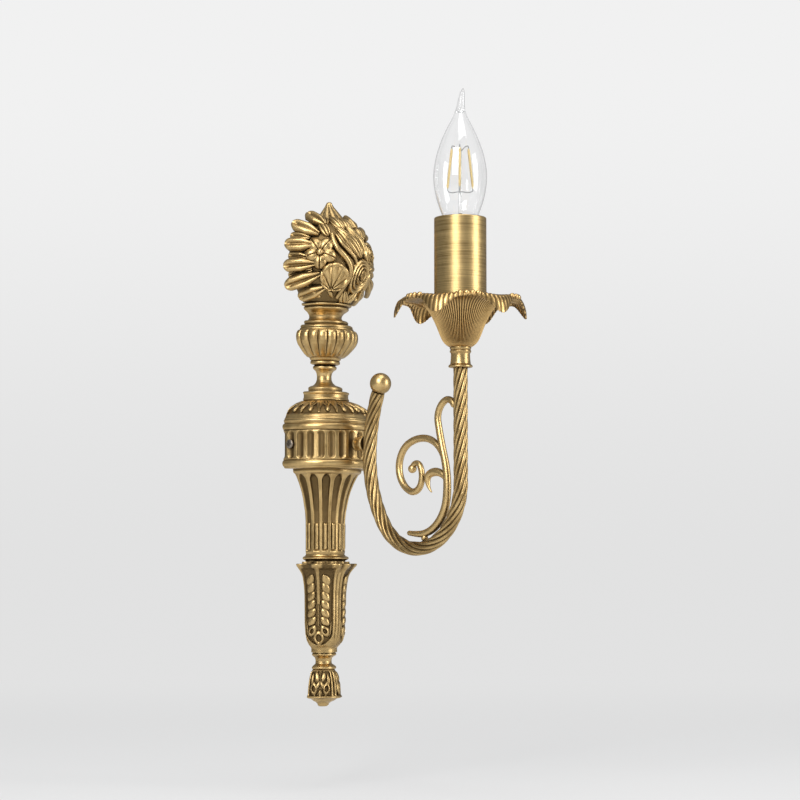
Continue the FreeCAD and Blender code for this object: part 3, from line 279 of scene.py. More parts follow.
class Shape:
    """Vertices in millimetres and faces of one piece, with a mark of how sunk each vertex is."""

    def __init__(self):
        self.points = []
        self.hollow = []
        self.faces = []
        self.count = 0

    def add(self, points, faces, hollow=0.0):
        points = np.asarray(points, float).reshape(-1, 3)
        self.faces += [[k + self.count for k in face] for face in faces]
        self.points.append(points)
        self.hollow.append(np.broadcast_to(np.asarray(hollow, float).reshape(-1), (len(points),)))
        self.count += len(points)

    def net(self, points, wrap_rows=False, wrap_columns=False, first=False, last=False, back=False,
            hollow=0.0):
        """Net of points, rows by columns. first and last close the end rows, back closes the wall side."""
        rows, columns = points.shape[:2]
        faces = squares(rows, columns, wrap_rows, wrap_columns)
        if first:
            faces.append(list(range(columns))[::-1])
        if last:
            faces.append([(rows - 1) * columns + k for k in range(columns)])
        if back:
            up = [k * columns for k in range(rows)]
            faces.append(up + [k + columns - 1 for k in reversed(up)])
        self.add(points, faces, hollow)

    def tube(self, path, radii, sides=20):
        self.net(tube_net(path, radii, sides), wrap_columns=True, first=True, last=True)

    def ball(self, centre, radius, rings=14, sides=24):
        self.net(ball_net(centre, radius, rings, sides), wrap_columns=True, first=True, last=True)

    def make(self, node, name=None):
        """Make the object, and let it stand for a CAD node and move with that node's body."""
        name, slot = name or node, SLOT_OF[node]
        mesh = bpy.data.meshes.new(name)
        mesh.from_pydata((np.concatenate(self.points) * MM).tolist(), [], self.faces)
        # Each vertex's hollow mark, which the brass materials darken to umber as painted shade.
        marks = mesh.attributes.new("hollow", "FLOAT", "POINT")
        marks.data.foreach_set("value", np.concatenate(self.hollow))
        mesh.validate()
        mesh.shade_smooth()
        mesh.set_sharp_from_angle(angle=math.radians(SHARP_ANGLE))
        mesh.materials.append(FINISH[slot])
        piece = add_object(name, mesh)
        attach(piece, BODY_OF[node])
        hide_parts(node)


def eased(points, step, soften):
    """Points every step along a broken line, with its corners softened over a length."""
    points = np.asarray(points, float)
    lengths = np.concatenate([[0], np.cumsum(np.linalg.norm(np.diff(points, axis=0), axis=1))])
    count = max(8, int(lengths[-1] / step))
    places = np.linspace(0, lengths[-1], count + 1)
    line = np.stack([np.interp(places, lengths, points[:, k]) for k in range(points.shape[1])], 1)
    reach = max(1, int(round(3 * soften / step)))
    weights = np.exp(-0.5 * (np.arange(-reach, reach + 1) * step / max(soften, 1e-6)) ** 2)
    weights /= weights.sum()
    padded = np.concatenate([2 * line[:1] - line[reach:0:-1], line, 2 * line[-1:] - line[-2:-reach - 2:-1]])
    return np.stack([np.convolve(padded[:, k], weights, "valid") for k in range(line.shape[1])], 1)


def swell(distance, half, height=1.0):
    """Rounded ridge over a distance, as wide as two halves."""
    return height * 0.5 * (1 + np.cos(np.pi * np.clip(distance / half, -1, 1)))


def round_ridge(distance, half, height=1.0):
    """Ridge with a half-round section."""
    return height * np.sqrt(unit(1 - (distance / half) ** 2))


def away(a, b):
    """Angle from b to a, between -180 and 180 degrees."""
    return (a - b + 180) % 360 - 180


def half_turn(outline, relief=None, columns=181, step=0.3, soften=0.3, depth=1.0, level=0.0):
    """Half-round net from (radius, height) points, and how sunk each point is.

    relief(angle, height, radius) is added to the radius. The angle is 0 to the room and grows towards +X.
    A point is sunk where its relief is under level, and fully where it is deeper by depth.
    """
    line = eased(outline, step, soften)
    radius, height = np.maximum(line[:, 0:1], 0.0), line[:, 1:2]
    angle = np.linspace(-90, 90, columns)[None, :]
    lift = np.zeros((len(line), columns))
    if relief:
        lift = lift + relief(angle, height, radius)
    out = np.maximum(radius + lift, 0.0)
    a = np.radians(angle)
    return (np.stack([out * np.sin(a), -out * np.cos(a), height + 0 * out], -1),
            unit((level - lift) / depth) if relief else 0 * lift)


def casting(node, outline, relief=None, name=None, **details):
    """Solid half-round casting. The outline is (share of reach, share of height) from foot to top."""
    foot, top, reach = span(node)
    points = [(r * reach, foot + h * (top - foot)) for r, h in outline]
    net, hollow = half_turn(points, relief, **details)
    shape = Shape()
    shape.net(net, first=True, last=True, back=True, hollow=hollow)
    shape.make(node, name)


def hollow_casting(node, name, outside, inside, relief, **details):
    """Half-round shell from an outer and an inner outline in millimetres. Its ends are flat."""
    outer, hollow = half_turn(outside, relief, columns=601, **details)
    inner, _ = half_turn(inside, columns=91, step=1.0, soften=0.05)
    shape = Shape()
    shape.net(outer, first=True, last=True, hollow=hollow)
    shape.net(inner[::-1], first=True, last=True)
    for k in (0, -1):
        rim = np.concatenate([outer[:, k], inner[::-1, k]])
        shape.add(rim, [list(range(len(rim)))])
    for row in (0, -1):
        shape.add([outer[row, 0], outer[row, -1], inner[row, -1], inner[row, 0]], [[0, 1, 2, 3]])
    shape.make(node, name)


def full_turn(outline, y=0.0, sides=96, step=0.3, soften=0.25):
    """Round net from (radius, height) points about an upright axis."""
    line = eased(outline, step, soften)
    a = circle(sides)[None, :]
    r, z = np.maximum(line[:, 0:1], 0.0), line[:, 1:2]
    return np.stack([r * np.cos(a), y + r * np.sin(a), z + 0 * a], -1)


def tube_net(path, radii, sides):
    """Round tube along a path of points."""
    path = np.asarray(path, float)
    ahead = unit_length(np.gradient(path, axis=0))
    side = np.array([1.0, 0.0, 0.0]) if abs(ahead[0][0]) < 0.9 else np.array([0.0, 1.0, 0.0])
    a = circle(sides)
    rings = []
    for point, forward, radius in zip(path, ahead, np.broadcast_to(radii, len(path))):
        side = side - forward * side.dot(forward)
        side /= np.linalg.norm(side)
        up = np.cross(forward, side)
        rings.append(point + radius * (np.cos(a)[:, None] * side + np.sin(a)[:, None] * up))
    return np.array(rings)


def ball_net(centre, radius, rings, sides):
    """Net of a ball; its first and last rows are small."""
    tilt = np.linspace(-np.pi / 2 + 0.02, np.pi / 2 - 0.02, rings)[:, None]
    a = circle(sides)[None, :]
    x = radius * np.cos(tilt) * np.cos(a)
    return np.stack([centre[0] + x, centre[1] + radius * np.cos(tilt) * np.sin(a),
                     centre[2] + radius * np.sin(tilt) + 0 * x], -1)


# ------------ column over the drum

def make_drum():
    """Hollow drum: two rounded bands and a belt of round-ended flutes."""
    foot, top, reach = span("drum_shell")
    middle = (foot + top) / 2
    belt = reach - 0.7
    wall, plate = 2.6, 2.5
    low_belt, high_belt = middle - 10.2, middle + 9.2
    pitch, cutter, cutter_out, straight = 12, 3.3, 1.9, 6.9

    def flutes(angle, height, radius):
        up = np.abs(height - middle + 0.5)
        cut = np.zeros(np.broadcast(angle, height).shape)
        for k in range(-8, 8):
            beside = np.radians(away(angle, pitch * (k + 0.5))) * belt
            gap = np.hypot(beside, np.maximum(up - straight, 0))
            cut = np.maximum(cut, np.sqrt(np.clip(cutter ** 2 - gap ** 2, 0, None)) - cutter_out)
        cut = np.where(radius > belt - 0.6, np.clip(cut, 0, None), 0)
        return -cut * (up < 9.6)

    outside = moved([(-2.6, 0), (-1.5, 0.5), (-1.6, 1.0), (-0.5, 1.7), (0, 3.0), (0, 4.0), (-0.5, 5.2),
                     (-1.3, 5.6), (-1.3, 5.9)], reach, foot)
    outside += [(belt, low_belt - 0.1), (belt, low_belt + 0.1), (belt, high_belt)]
    outside += moved([(-1.3, 0.2), (-1.3, 0.5), (-0.5, 0.9), (0, 2.2), (0, 3.2), (-0.5, 4.4), (-1.7, 5.0),
                      (-1.7, 5.3)], reach, high_belt)
    outside += moved([(-1.0, -0.45), (-1.2, 0)], reach, top)
    inside = [(belt - wall, foot + plate), (belt - wall, top - plate)]
    hollow_casting("drum_shell", "fluted_drum", outside, inside, flutes, soften=0.2, depth=1.1, level=-0.15)


def make_dome():
    """Domed cover with a wreath of pointed leaves, and a bead hung between each two."""
    foot, top, reach = span("drum_dome")
    pitch, inner_r, outer_r = 22.5, 17.6, 32.6
    rib, bead_r, bead_out, wing_top = 0.8, 2.0, 12.2, 10.4

    def wreath(angle, z, radius):
        out = radius - inner_r
        along = out / (outer_r - inner_r)
        inside = unit(along / 0.03) * unit((1.02 - along) / 0.05) * (z > foot + 3.5)
        across = np.radians((angle + pitch / 2) % pitch - pitch / 2) * radius
        half = 3.5 * unit(0.97 - along) ** 0.55 + 0.01
        gap = np.abs(np.radians(angle % pitch - pitch / 2)) * radius
        parts = [round_ridge(across, half, 1.9) - swell(across, 0.5, rib),
                 np.sqrt(np.clip(bead_r ** 2 - np.hypot(gap, out - bead_out) ** 2, 0, None)) * 1.1,
                 round_ridge(gap - 0.6 - 0.42 * (wing_top - out), 0.8, 1.7) * (out > 5.5) * (out < 10.8),
                 swell(gap, 0.8, 1.5) * (out < 8.5)]
        return inside * (highest(parts, inside) - 0.9)

    outside = moved([(-1.6, 0), (-0.7, 0.1), (-0.6, 1.0), (-1.3, 1.5), (-1.6, 2.2), (-2.5, 4.3), (-4.2, 7.0),
                     (-6.3, 9.2), (-11.6, 12.2)], reach, foot) + [(18.2, top), (14, top)]
    inside = [(32.6, foot), (27.3, foot + 7), (15.8, top - 2.4), (14, top - 2.4)]
    hollow_casting("drum_dome", "dome_cover", outside, inside, wreath, step=0.28, soften=0.25, level=0.1)


def make_turned_castings():
    """Plain turned lengths of the column."""
    casting("dome_collar", [
        (0.97, 0), (1, 0.06), (1, 0.12), (0.965, 0.2), (0.965, 0.42), (1, 0.5), (1, 0.57), (0.93, 0.62),
        (0.75, 0.635), (0.73, 0.66), (0.74, 0.72), (0.745, 0.86), (0.70, 0.93), (0.60, 1)],
        step=0.15, soften=0.16)
    casting("spindle_neck", [
        (0.86, 0), (0.72, 0.05), (0.58, 0.14), (0.50, 0.26), (0.49, 0.4), (0.53, 0.52), (0.62, 0.61),
        (0.74, 0.65), (0.80, 0.70), (0.80, 0.76), (0.72, 0.81), (0.66, 0.83), (0.9, 0.85), (1, 0.88),
        (1, 0.96), (0.93, 1)],
        step=0.15, soften=0.2)
    casting("urn_rings", [
        (0.97, 0), (1, 0.1), (1, 0.28), (0.95, 0.42), (0.845, 0.5), (0.82, 0.56), (0.845, 0.66), (0.85, 0.86),
        (0.80, 1)], step=0.12, soften=0.16)
    casting("head_throat", [
        (0.74, 0), (0.68, 0.08), (0.645, 0.2), (0.66, 0.32), (0.73, 0.48), (0.83, 0.58), (0.89, 0.66),
        (0.91, 0.74), (0.86, 0.79), (0.87, 0.82), (0.97, 0.86), (1, 0.91), (1, 0.96), (0.97, 1)],
        step=0.15, soften=0.18)
    casting("shaft_ring", [
        (0.86, 0), (0.86, 0.16), (0.93, 0.25), (0.99, 0.4), (1, 0.55), (0.96, 0.72), (0.87, 0.84), (0.86, 1)],
        step=0.12, soften=0.16)
    casting("cup_spindle", [
        (0.9, 0), (1, 0.06), (1, 0.16), (0.86, 0.25), (0.68, 0.34), (0.66, 0.5), (0.70, 0.66), (0.84, 0.76),
        (1.0, 0.84), (1.0, 0.93), (0.9, 1)], step=0.12, soften=0.16)


def make_urn():
    """Gadrooned urn: round lobes that rise from the foot and roll over at the shoulder."""
    foot, top, reach = span("urn")
    pitch, deep = 360 / 22, 1.9

    def lobes(angle, z, radius):
        beside = (angle % pitch) / pitch - 0.5
        body = round_ridge(beside, 0.5)
        rise = unit((z - foot - 1.5) / 2.5) * unit((top - 1.2 - z) / 1.6)
        return (body - 1) * deep * rise * radius / reach

    casting("urn", [
        (0.46, 0), (0.50, 0.05), (0.50, 0.08), (0.60, 0.11), (0.71, 0.2), (0.83, 0.34), (0.935, 0.48),
        (0.985, 0.6), (1, 0.72), (0.99, 0.83), (0.95, 0.91), (0.90, 0.945), (0.86, 0.95), (0.86, 1)],
        lobes, "gadrooned_urn", columns=441, step=0.25, soften=0.25, depth=0.9, level=-0.55)


# ------------ column under the drum

def make_shaft():
    """Shaft that flares up to the drum: wide flutes between arrises, with reeds in their lower part."""
    foot, top, _ = span("fluted_shaft")
    height, pitch = top - foot, 22.5

    def flutes(angle, z, radius):
        share = (z - foot) / height
        beside = np.abs(away(angle, 0) % pitch - pitch / 2)
        arris = unit((beside - pitch * 0.25) / (pitch * 0.13))
        arris = arris * arris * (3 - 2 * arris)
        round_end = 0.05 * (beside / (pitch * 0.32)) ** 2
        fade = unit((share - 0.04) / 0.02) * unit((0.945 - round_end - share) / 0.025)
        hollow = (1 - arris) * (0.9 + 1.2 * unit((share - 0.5) / 0.4))
        reed_rise = unit((0.375 - share) / 0.02) ** 0.5 * unit((share - 0.055) / 0.02) ** 0.5
        reed = round_ridge(beside, pitch * 0.2, 1.25) * reed_rise
        return -(hollow - np.minimum(reed, hollow + 0.35)) * fade

    casting("fluted_shaft", [
        (0.56, 0), (0.575, 0.03), (0.575, 0.2), (0.58, 0.4), (0.60, 0.5), (0.635, 0.58), (0.67, 0.66),
        (0.72, 0.74), (0.80, 0.83), (0.875, 0.9), (0.93, 0.94), (0.985, 0.955), (1, 0.97), (1, 1)],
        flutes, columns=401, step=0.35, depth=0.7, level=-0.25)


def blob(x, y, place, length, width, tilt, height=1.2, ring=0.0):
    """Raised oval leaf. place is its middle, tilt turns it anticlockwise, ring hollows its heart."""
    a = math.radians(tilt)
    dx, dy = x - place[0], y - place[1]
    up, across = dy * math.cos(a) - dx * math.sin(a), dx * math.cos(a) + dy * math.sin(a)
    share = up / length * 2
    far = np.hypot(across / (width / 2 * np.clip(1.15 - 0.35 * np.abs(share), 0.4, 2)), share)
    body = height * np.sqrt(unit(1 - far ** 2.4))
    if ring:
        return body * np.clip((far - ring * 0.55) / (ring * 0.45), 0.05, 1)
    return body


def highest(parts, like):
    """Highest of several reliefs, each spread to the shape of another."""
    return np.maximum.reduce([part + np.zeros(np.shape(like)) for part in parts])


def make_leaf_cup():
    """Leaf cup: sunk panels with a branch of drooping leaves, ribs between them and a flared leaf rim."""
    foot, top, _ = span("leaf_cup")
    height = top - foot
    panel, half_panel, near_r = 51.0, 39.0, 14.8

    def panels(angle, z, radius):
        share = (z - foot) / height
        across = np.radians(np.abs(angle) - panel) * near_r
        edge_at = math.radians(half_panel) * near_r
        up = z - foot
        low_edge = 5.0 + 7.0 * unit(np.abs(across) / edge_at) ** 2.5
        inside = unit((edge_at - np.abs(across)) / 0.8) * unit((up - low_edge) / 0.8)
        inside = inside * unit((0.935 - share) / 0.03)
        parts = [round_ridge(across, 1.3, 1.5) * (up > 33), round_ridge(across, 0.6, 1.1) * (up > 18)]
        leaves = [((4.5 + 0.12 * k, 21.5 + 5.6 * k), 8.8, 5.0, 44 - 3 * k, 1.9) for k in range(6)]
        leaves += [((4.5, 14.8), 9.6, 5.8, 32, 1.9, 0.45), ((8.4, 16), 13, 1.4, -4, 1.2)]
        parts += [blob(side * across, up, *leaf) for leaf in leaves for side in (-1, 1)]
        parts.append(blob(across, up, (0, 9.9), 11.0, 7.6, 0, 2.1, 0.6))
        relief = highest(parts, inside) - 1.5
        front = np.abs(np.abs(angle) - 5)
        band = -0.7 * unit(1 - front / 3.0) * unit((up - 8) / 3) * unit((0.9 - share) / 0.05)
        scallop = 1.5 * np.cos(np.radians((np.abs(angle) - panel) * 360 / half_panel)) - 0.6
        return inside * relief + band + unit((share - 0.86) / 0.09) * scallop

    casting("leaf_cup", [
        (0.43, 0), (0.43, 0.05), (0.52, 0.085), (0.60, 0.13), (0.655, 0.2), (0.685, 0.32), (0.69, 0.5),
        (0.695, 0.64), (0.72, 0.74), (0.765, 0.83), (0.82, 0.88), (0.89, 0.92), (0.965, 0.955), (0.98, 0.97),
        (0.95, 0.98), (0.88, 0.965), (0.8, 0.95), (0.76, 0.97), (0.75, 1)],
        panels, columns=401, level=0.1)


def make_drop():
    """Drop finial: a bell with scrolled leaves on its faces, a faceted foot ring and a small knob."""
    foot, top, _ = span("drop_finial")
    height, face, near_r = top - foot, 48, 11.5

    def leaves(angle, z, radius):
        share = (z - foot) / height
        across = np.radians(np.abs(angle) - face) * near_r
        up = z - foot
        fade = unit((share - 0.29) / 0.04) * unit((0.97 - share) / 0.04)
        square = -0.6 * np.sin(np.radians(2 * angle)) ** 2 * unit((share - 0.2) / 0.1)
        parts = [round_ridge(across, 0.7, 1.2) * (up > 15), blob(across, up, (0, 9.6), 5.5, 2.8, 0, 1.6)]
        parts.append(round_ridge(np.abs(across) - 8.3, 0.8, 1.4))
        scrolls = [((4.3, 12.6), 10.0, 5.2, -8, 2.0, 0.5), ((1.7, 14.6), 8.0, 2.8, 26, 1.8),
                   ((2.4, 20.4), 8.6, 3.4, -14, 1.9), ((5.9, 18.6), 9.0, 2.4, 0, 1.6)]
        parts += [blob(side * across, up, *leaf) for leaf in scrolls for side in (-1, 1)]
        return square + (highest(parts, square) - 1.3) * fade

    casting("drop_finial", [
        (0.20, 0), (0.24, 0.01), (0.30, 0.04), (0.32, 0.08), (0.42, 0.12), (0.55, 0.15), (0.66, 0.19),
        (0.70, 0.21), (0.86, 0.225), (0.96, 0.245), (0.98, 0.27), (0.95, 0.30), (0.91, 0.34), (0.90, 0.45),
        (0.87, 0.6), (0.81, 0.78), (0.73, 0.92), (0.66, 0.97), (0.62, 1)],
        leaves, columns=361, step=0.18, soften=0.18, depth=0.9, level=0.1)


# ------------ flower head

def on_ball(at, lift):
    """Direction from a ball's middle, at degrees to the right of the room and lift degrees up."""
    u, v = math.radians(at), math.radians(lift)
    return np.array([math.cos(v) * math.sin(u), -math.cos(v) * math.cos(u), math.sin(v)])


def make_head():
    """Half ball covered in flowers and scrolling leaves, with leaf fingers that reach back to the wall."""
    foot, top, _ = span("flower_head")
    head_r, seat_r, near_r = 34.6, 18.4, 33
    centre = foot + math.sqrt(head_r ** 2 - seat_r ** 2)
    columns, rows = 321, 241
    angle = np.linspace(-90, 90, columns)[None, :]
    tilt = np.linspace(-58, 84, rows)[:, None]
    a, t = np.radians(angle), np.radians(tilt)
    normal = np.stack([np.cos(t) * np.sin(a), -np.cos(t) * np.cos(a), np.sin(t) + 0 * a], -1)
    relief = np.zeros((rows, columns))
    ball_r = 31.6 - 0.6 * unit((np.abs(angle) - 45) / 40) + 3.0 * unit((-36 - tilt) / 22) ** 1.5

    def local(at, lift, turn=0.0):
        """Millimetres right and up of a place on the ball, turned by an angle."""
        out = on_ball(at, lift)
        right = np.array([math.cos(math.radians(at)), math.sin(math.radians(at)), 0.0])
        up = np.cross(out, right)
        up = up * (1 if up[2] >= 0 else -1)
        arc = np.arccos(np.clip(normal @ out, -1, 1)) * near_r
        x, y = normal @ right, normal @ up
        size = np.hypot(x, y) + 1e-9
        x, y = x / size * arc, y / size * arc
        c, s = math.cos(math.radians(turn)), math.sin(math.radians(turn))
        return x * c + y * s, y * c - x * s

    def lay(height):
        np.maximum(relief, height, out=relief)

    def vine(places, half, height, start=0.6, end=0.6):
        """Rounded ridge along places on the ball, thinner at its ends by the given shares."""
        line = eased(np.array([on_ball(*p) * near_r for p in places]), 0.6, 2.0)
        share = np.linspace(0, 1, len(line))
        size = unit(np.minimum(start + share * 4 * (1 - start), end + (1 - share) * 4 * (1 - end)))
        for point, k in zip(line, size):
            gap = np.linalg.norm(normal * near_r - point / np.linalg.norm(point) * near_r, axis=-1)
            lay(round_ridge(gap, half * k, height * k))

    def flower(at, lift, size, turn):
        x, y = local(at, lift, turn)
        far, petal_at, petal_r, eye_r = np.hypot(x, y), size * 0.56, size * 0.43, size * 0.2
        petals = 5
        for k in range(petals):
            b = 2 * math.pi * k / petals
            gap = np.hypot(x - petal_at * math.cos(b), y - petal_at * math.sin(b))
            crease = swell(x * math.sin(b) - y * math.cos(b), 0.7, 0.9)
            petal = 3.6 * round_ridge(gap, petal_r) ** 0.8 - crease * (far < size * 0.9)
            lay(np.where(gap < petal_r, petal, 0))
        lay(round_ridge(far, eye_r, 2.6) + 1.4 * (far < eye_r))

    def rose(at, lift, wide, tall, turn):
        x, y = local(at, lift, turn)
        for k, low in enumerate((0.0, -0.5, -1.0, -1.6)):
            share = 1 - 0.235 * k
            gap = np.hypot(x / (wide * share), (y + low) / (tall * share))
            rim = 1.4 * unit((gap - 0.72) / 0.16) * unit((1 - gap) / 0.08)
            lay(np.where(gap < 1, 2.0 + 0.5 * k + rim, 0))

    def shell(at, lift, size, turn):
        x, y = local(at, lift, turn)
        gap = np.hypot(x, y)
        spread = np.degrees(np.arctan2(x, y + size * 0.85))
        rib = 1.2 * np.abs(np.cos(np.radians(spread * 90 / 14))) ** 0.8
        rim = swell(gap - size * 0.88, size * 0.16)
        lay(np.where(gap < size, 1.2 + rib + rim + round_ridge(gap, size, 0.8), 0))

    def leaf(at, lift, length, width, turn, ribs=3, height=3.0):
        x, y = local(at, lift, turn)
        share = unit(y / length + 0.5)
        across = x / (width * np.sin(np.pi * share ** 0.85) ** 0.7 + 1e-6)
        body = round_ridge(across, 1) * np.sin(np.pi * share) ** 0.35
        lines = 1.2 * np.abs(np.cos(across * ribs * np.pi / 2)) ** 0.6
        lay(np.where((np.abs(across) < 1) & (share > 0) & (share < 1), height * body - 1.2 + lines, 0))

    for side in (-1, 1):
        flower(side * 44, 6, 12.2, 20 * side)
        leaf(side * 39, 40, 16, 4.4, -side * 25, 3)
        leaf(side * 60, 38, 14, 3.8, -side * 48, 2)
        leaf(side * 12, 56, 20, 5.0, -side * 14, 4)
        leaf(side * 40, 60, 14, 4.0, -side * 18, 3)
    shell(-25, -24, 10.4, -12)
    shell(47, -24, 10.0, 12)
    vine([(-28, 30), (-27, 20), (-22, 10), (-13, 2), (-5, -8), (-3, -20), (-8, -34), (-14, -50)],
         2.3, 3.2, 0.8)
    vine([(-22, 30), (-17, 18), (-8, 9), (2, 1), (6, -7)], 1.6, 2.8)
    vine([(-34, 24), (-33, 12), (-30, 2), (-33, -7)], 1.5, 2.4)
    leaf(-1, 22, 30, 6.5, 36, 4, 3.4)
    leaf(14, 26, 26, 6.0, 24, 3, 3.4)
    rose(14, -21, 8.8, 12.5, -5)
    rose(31, 6, 7.0, 8.5, 12)
    vine([(2, -8), (-1, -20), (0, -32), (6, -44)], 1.3, 2.4)
    vine([(-38, -34), (-30, -42), (-24, -50)], 1.8, 2.6)
    leaf(20, -47, 12, 4.0, -30, 3)
    leaf(0, -50, 13, 4.2, 22, 3)
    leaf(-56, -42, 14, 3.8, 38, 2)
    leaf(56, -42, 14, 3.8, -38, 2)
    cap = unit((tilt - 70) / 12)
    points = normal * (ball_r + relief * (1 - cap))[..., None]
    points[..., 2] += centre
    points[..., 2] = np.maximum(points[..., 2], foot + 0.02)
    shape = Shape()
    shape.net(points, first=True, last=True, back=True, hollow=0.85 * unit((1.7 - relief) / 1.7))
    add_fingers(shape, centre)
    add_bud(shape, centre, top)
    shape.make("flower_head")


def finger_net(path, middle, half, deep):
    """Leaf finger that follows the ball: two round ridges with a groove between them and a round tip."""
    out = unit_length(path - middle)
    out[:, 1] = np.minimum(out[:, 1], -0.05)
    across = unit_length(np.cross(unit_length(np.gradient(path, axis=0)), out))
    side = np.linspace(-1, 1, 22)
    share = np.linspace(0, 1, len(path))
    end = round_ridge(np.clip((share - 0.8) / 0.2, 0, 0.999), 1) * unit(0.35 + 1.6 * share)
    ridge = np.sqrt(unit(1 - side ** 4))
    groove = 0.5 * np.exp(-(side / 0.26) ** 2)
    rows, hollow = [], []
    for p, w, n, e, s in zip(path, across, out, end, share):
        crown = ridge * (1 - groove * min(1, (1 - s) * 6))
        rows.append(p + np.outer(side * half * e, w) + np.outer((crown - 0.6) * deep * e ** 0.5, n))
        hollow.append(unit(1.15 - crown * 1.3))
    return np.array(rows), np.array(hollow)


def add_fingers(shape, centre):
    """Leaf fingers down each side of the head, from the flowers back to the wall, with slim ones between."""
    wide = [(-46, 30, -31.0, 152.4), (-52, 15, -37.4, 137.2), (-50, -8, -38.4, 121.9),
            (-44, -20, -37.2, 107.9), (-38, -37, -25.0, 101.2), (-38, 46, -17.5, 160.5)]
    slim = [(-58, 24, -34.6, 145.0), (-58, 0, -36.6, 129.6), (-54, -15, -36.4, 114.8)]
    root_r, tip_y = 33.4, -3.6
    middle = np.array([0.0, 0.0, centre])
    share = np.linspace(0, 1, 34)[:, None]
    for fingers, reach, half, deep in ((wide, 1.0, 5.0, 4.0), (slim, 0.93, 3.4, 2.6)):
        for at, lift, tip_x, tip_z in fingers:
            root = on_ball(at, lift) * root_r
            tip = (np.array([tip_x, tip_y, tip_z]) - middle) * reach
            length = np.linalg.norm(root) * (1 - share) + np.linalg.norm(tip) * share
            path = root * (1 - share) + tip * share
            path *= length / np.linalg.norm(path, axis=1)[:, None]
            for side in (1, -1):
                net, hollow = finger_net(path * [side, 1, 1] + middle, middle, half, deep)
                net[..., 1] = np.minimum(net[..., 1], -0.1)
                shape.net(net, first=True, last=True, hollow=hollow)
                shape.net(net[:, [0, -1]])


def add_bud(shape, centre, top):
    """Ribbed bud that stands on the ball, with small leaves round its foot."""
    share = np.linspace(0, 0.985, 54)[:, None]
    foot = centre + 25
    around = circle(96)[None, :]
    outline = np.interp(share, [0, 0.2, 0.42, 0.62, 0.8, 0.9, 1], [12.5, 11.6, 8.6, 5.9, 3.4, 2.4, 1.2])
    ribs = np.abs(np.sin(4.5 * around + 1.6 * share))
    r = outline * (0.86 + 0.16 * ribs ** 0.7)
    x = r * np.cos(around) + 0.8
    y = np.minimum(-7.2 * (1 - 0.35 * share) + r * np.sin(around) * 0.9, -0.1)
    z = foot + (top - 0.2 - foot) * share + 0 * around
    points = np.stack([x, y, z], -1)
    shape.net(points, wrap_columns=True, first=True, last=True, hollow=unit(1 - 1.6 * ribs))
    shape.ball((0.8, -5.4, top - 2.1), 2.0)


# ------------ arm and scroll

ARM_REACH, ARM_FOOT, ARM_DROP, ARM_TOP = 139.2, 49.5, 71.2, 45.5
OUTER_BEND_R, INNER_BEND_R, INNER_TURN = 42.8, 40.0, 55.0
LEAN_R, LEAN_TURN = 113.0, 22.5
ROPE_R, ROPE_STRANDS, ROPE_LEAD = 4.7, 8, 76.0


def trace(start, heading, bends, step=0.5):
    """Points (out, up) and headings of a bent rod. Each bend is (length, degrees turned)."""
    out, up = start
    direction = math.radians(heading)
    rows = [(out, up, direction)]
    for length, turn in bends:
        pieces = max(2, int(math.ceil(length / step)))
        for _ in range(pieces):
            direction += math.radians(turn) / pieces / 2
            out += length / pieces * math.cos(direction)
            up += length / pieces * math.sin(direction)
            direction += math.radians(turn) / pieces / 2
            rows.append((out, up, direction))
    return np.array(rows)


def arm_line():
    turn = math.radians(INNER_TURN)
    heel_r = (ARM_REACH - OUTER_BEND_R - ARM_FOOT - INNER_BEND_R * math.sin(turn)) / (1 - math.sin(turn))
    return trace((ARM_REACH, ARM_TOP), -90, [
        (ARM_TOP + ARM_DROP - OUTER_BEND_R, 0), (OUTER_BEND_R * math.pi / 2, -90),
        (INNER_BEND_R * turn, -INNER_TURN), (heel_r * (math.pi / 2 - turn), INNER_TURN - 90),
        (LEAN_R * math.radians(LEAN_TURN), -LEAN_TURN)])


def make_arm():
    """Rope-twist rod: round strands that wind about the arm's centre line."""
    line = arm_line()
    columns = 12 * ROPE_STRANDS
    around = circle(columns)
    half = math.pi / ROPE_STRANDS
    strand = ROPE_R / (1 / math.sin(half) + 1)
    ring = strand / math.sin(half)
    off = (around + half) % (2 * half) - half
    section = ring * np.cos(off) + np.sqrt(np.clip(strand ** 2 - (ring * np.sin(off)) ** 2, 0, None))
    section = np.maximum(section, 0.78 * ROPE_R)
    gone = np.concatenate([[0], np.cumsum(np.hypot(np.diff(line[:, 0]), np.diff(line[:, 1])))])
    rows = []
    for (out, up, direction), length in zip(line, gone):
        a = around - 2 * math.pi * length / ROPE_LEAD
        beside, side = section * np.cos(a), section * np.sin(a)
        y = -(out - beside * math.sin(direction))
        rows.append(np.stack([side, y, up + beside * math.cos(direction)], 1))
    shape = Shape()
    sunk = unit((0.95 * ROPE_R - section) / (0.12 * ROPE_R))
    shape.net(np.array(rows), wrap_columns=True, first=True, last=True, hollow=np.tile(sunk, len(rows)))
    shape.make("rope_arm")


def make_ball():
    low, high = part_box("arm_ball")
    centre = (low + high) / 2 / MM
    shape = Shape()
    shape.ball(centre, (high.x - low.x) / 2 / MM, 48, 72)
    shape.make("arm_ball")


def rod(shape, line, radii):
    """Round rod along (out, up) points. The radii are spread evenly over its length and smoothed."""
    path = np.stack([0 * line[:, 0], -line[:, 0], line[:, 1]], 1)
    places = np.linspace(0, 1, len(path))
    radius = np.interp(places, np.linspace(0, 1, len(radii)), radii)
    reach = 5
    radius = np.convolve(np.pad(radius, reach, "edge"), np.ones(2 * reach + 1) / (2 * reach + 1), "valid")
    shape.tube(path, radius)


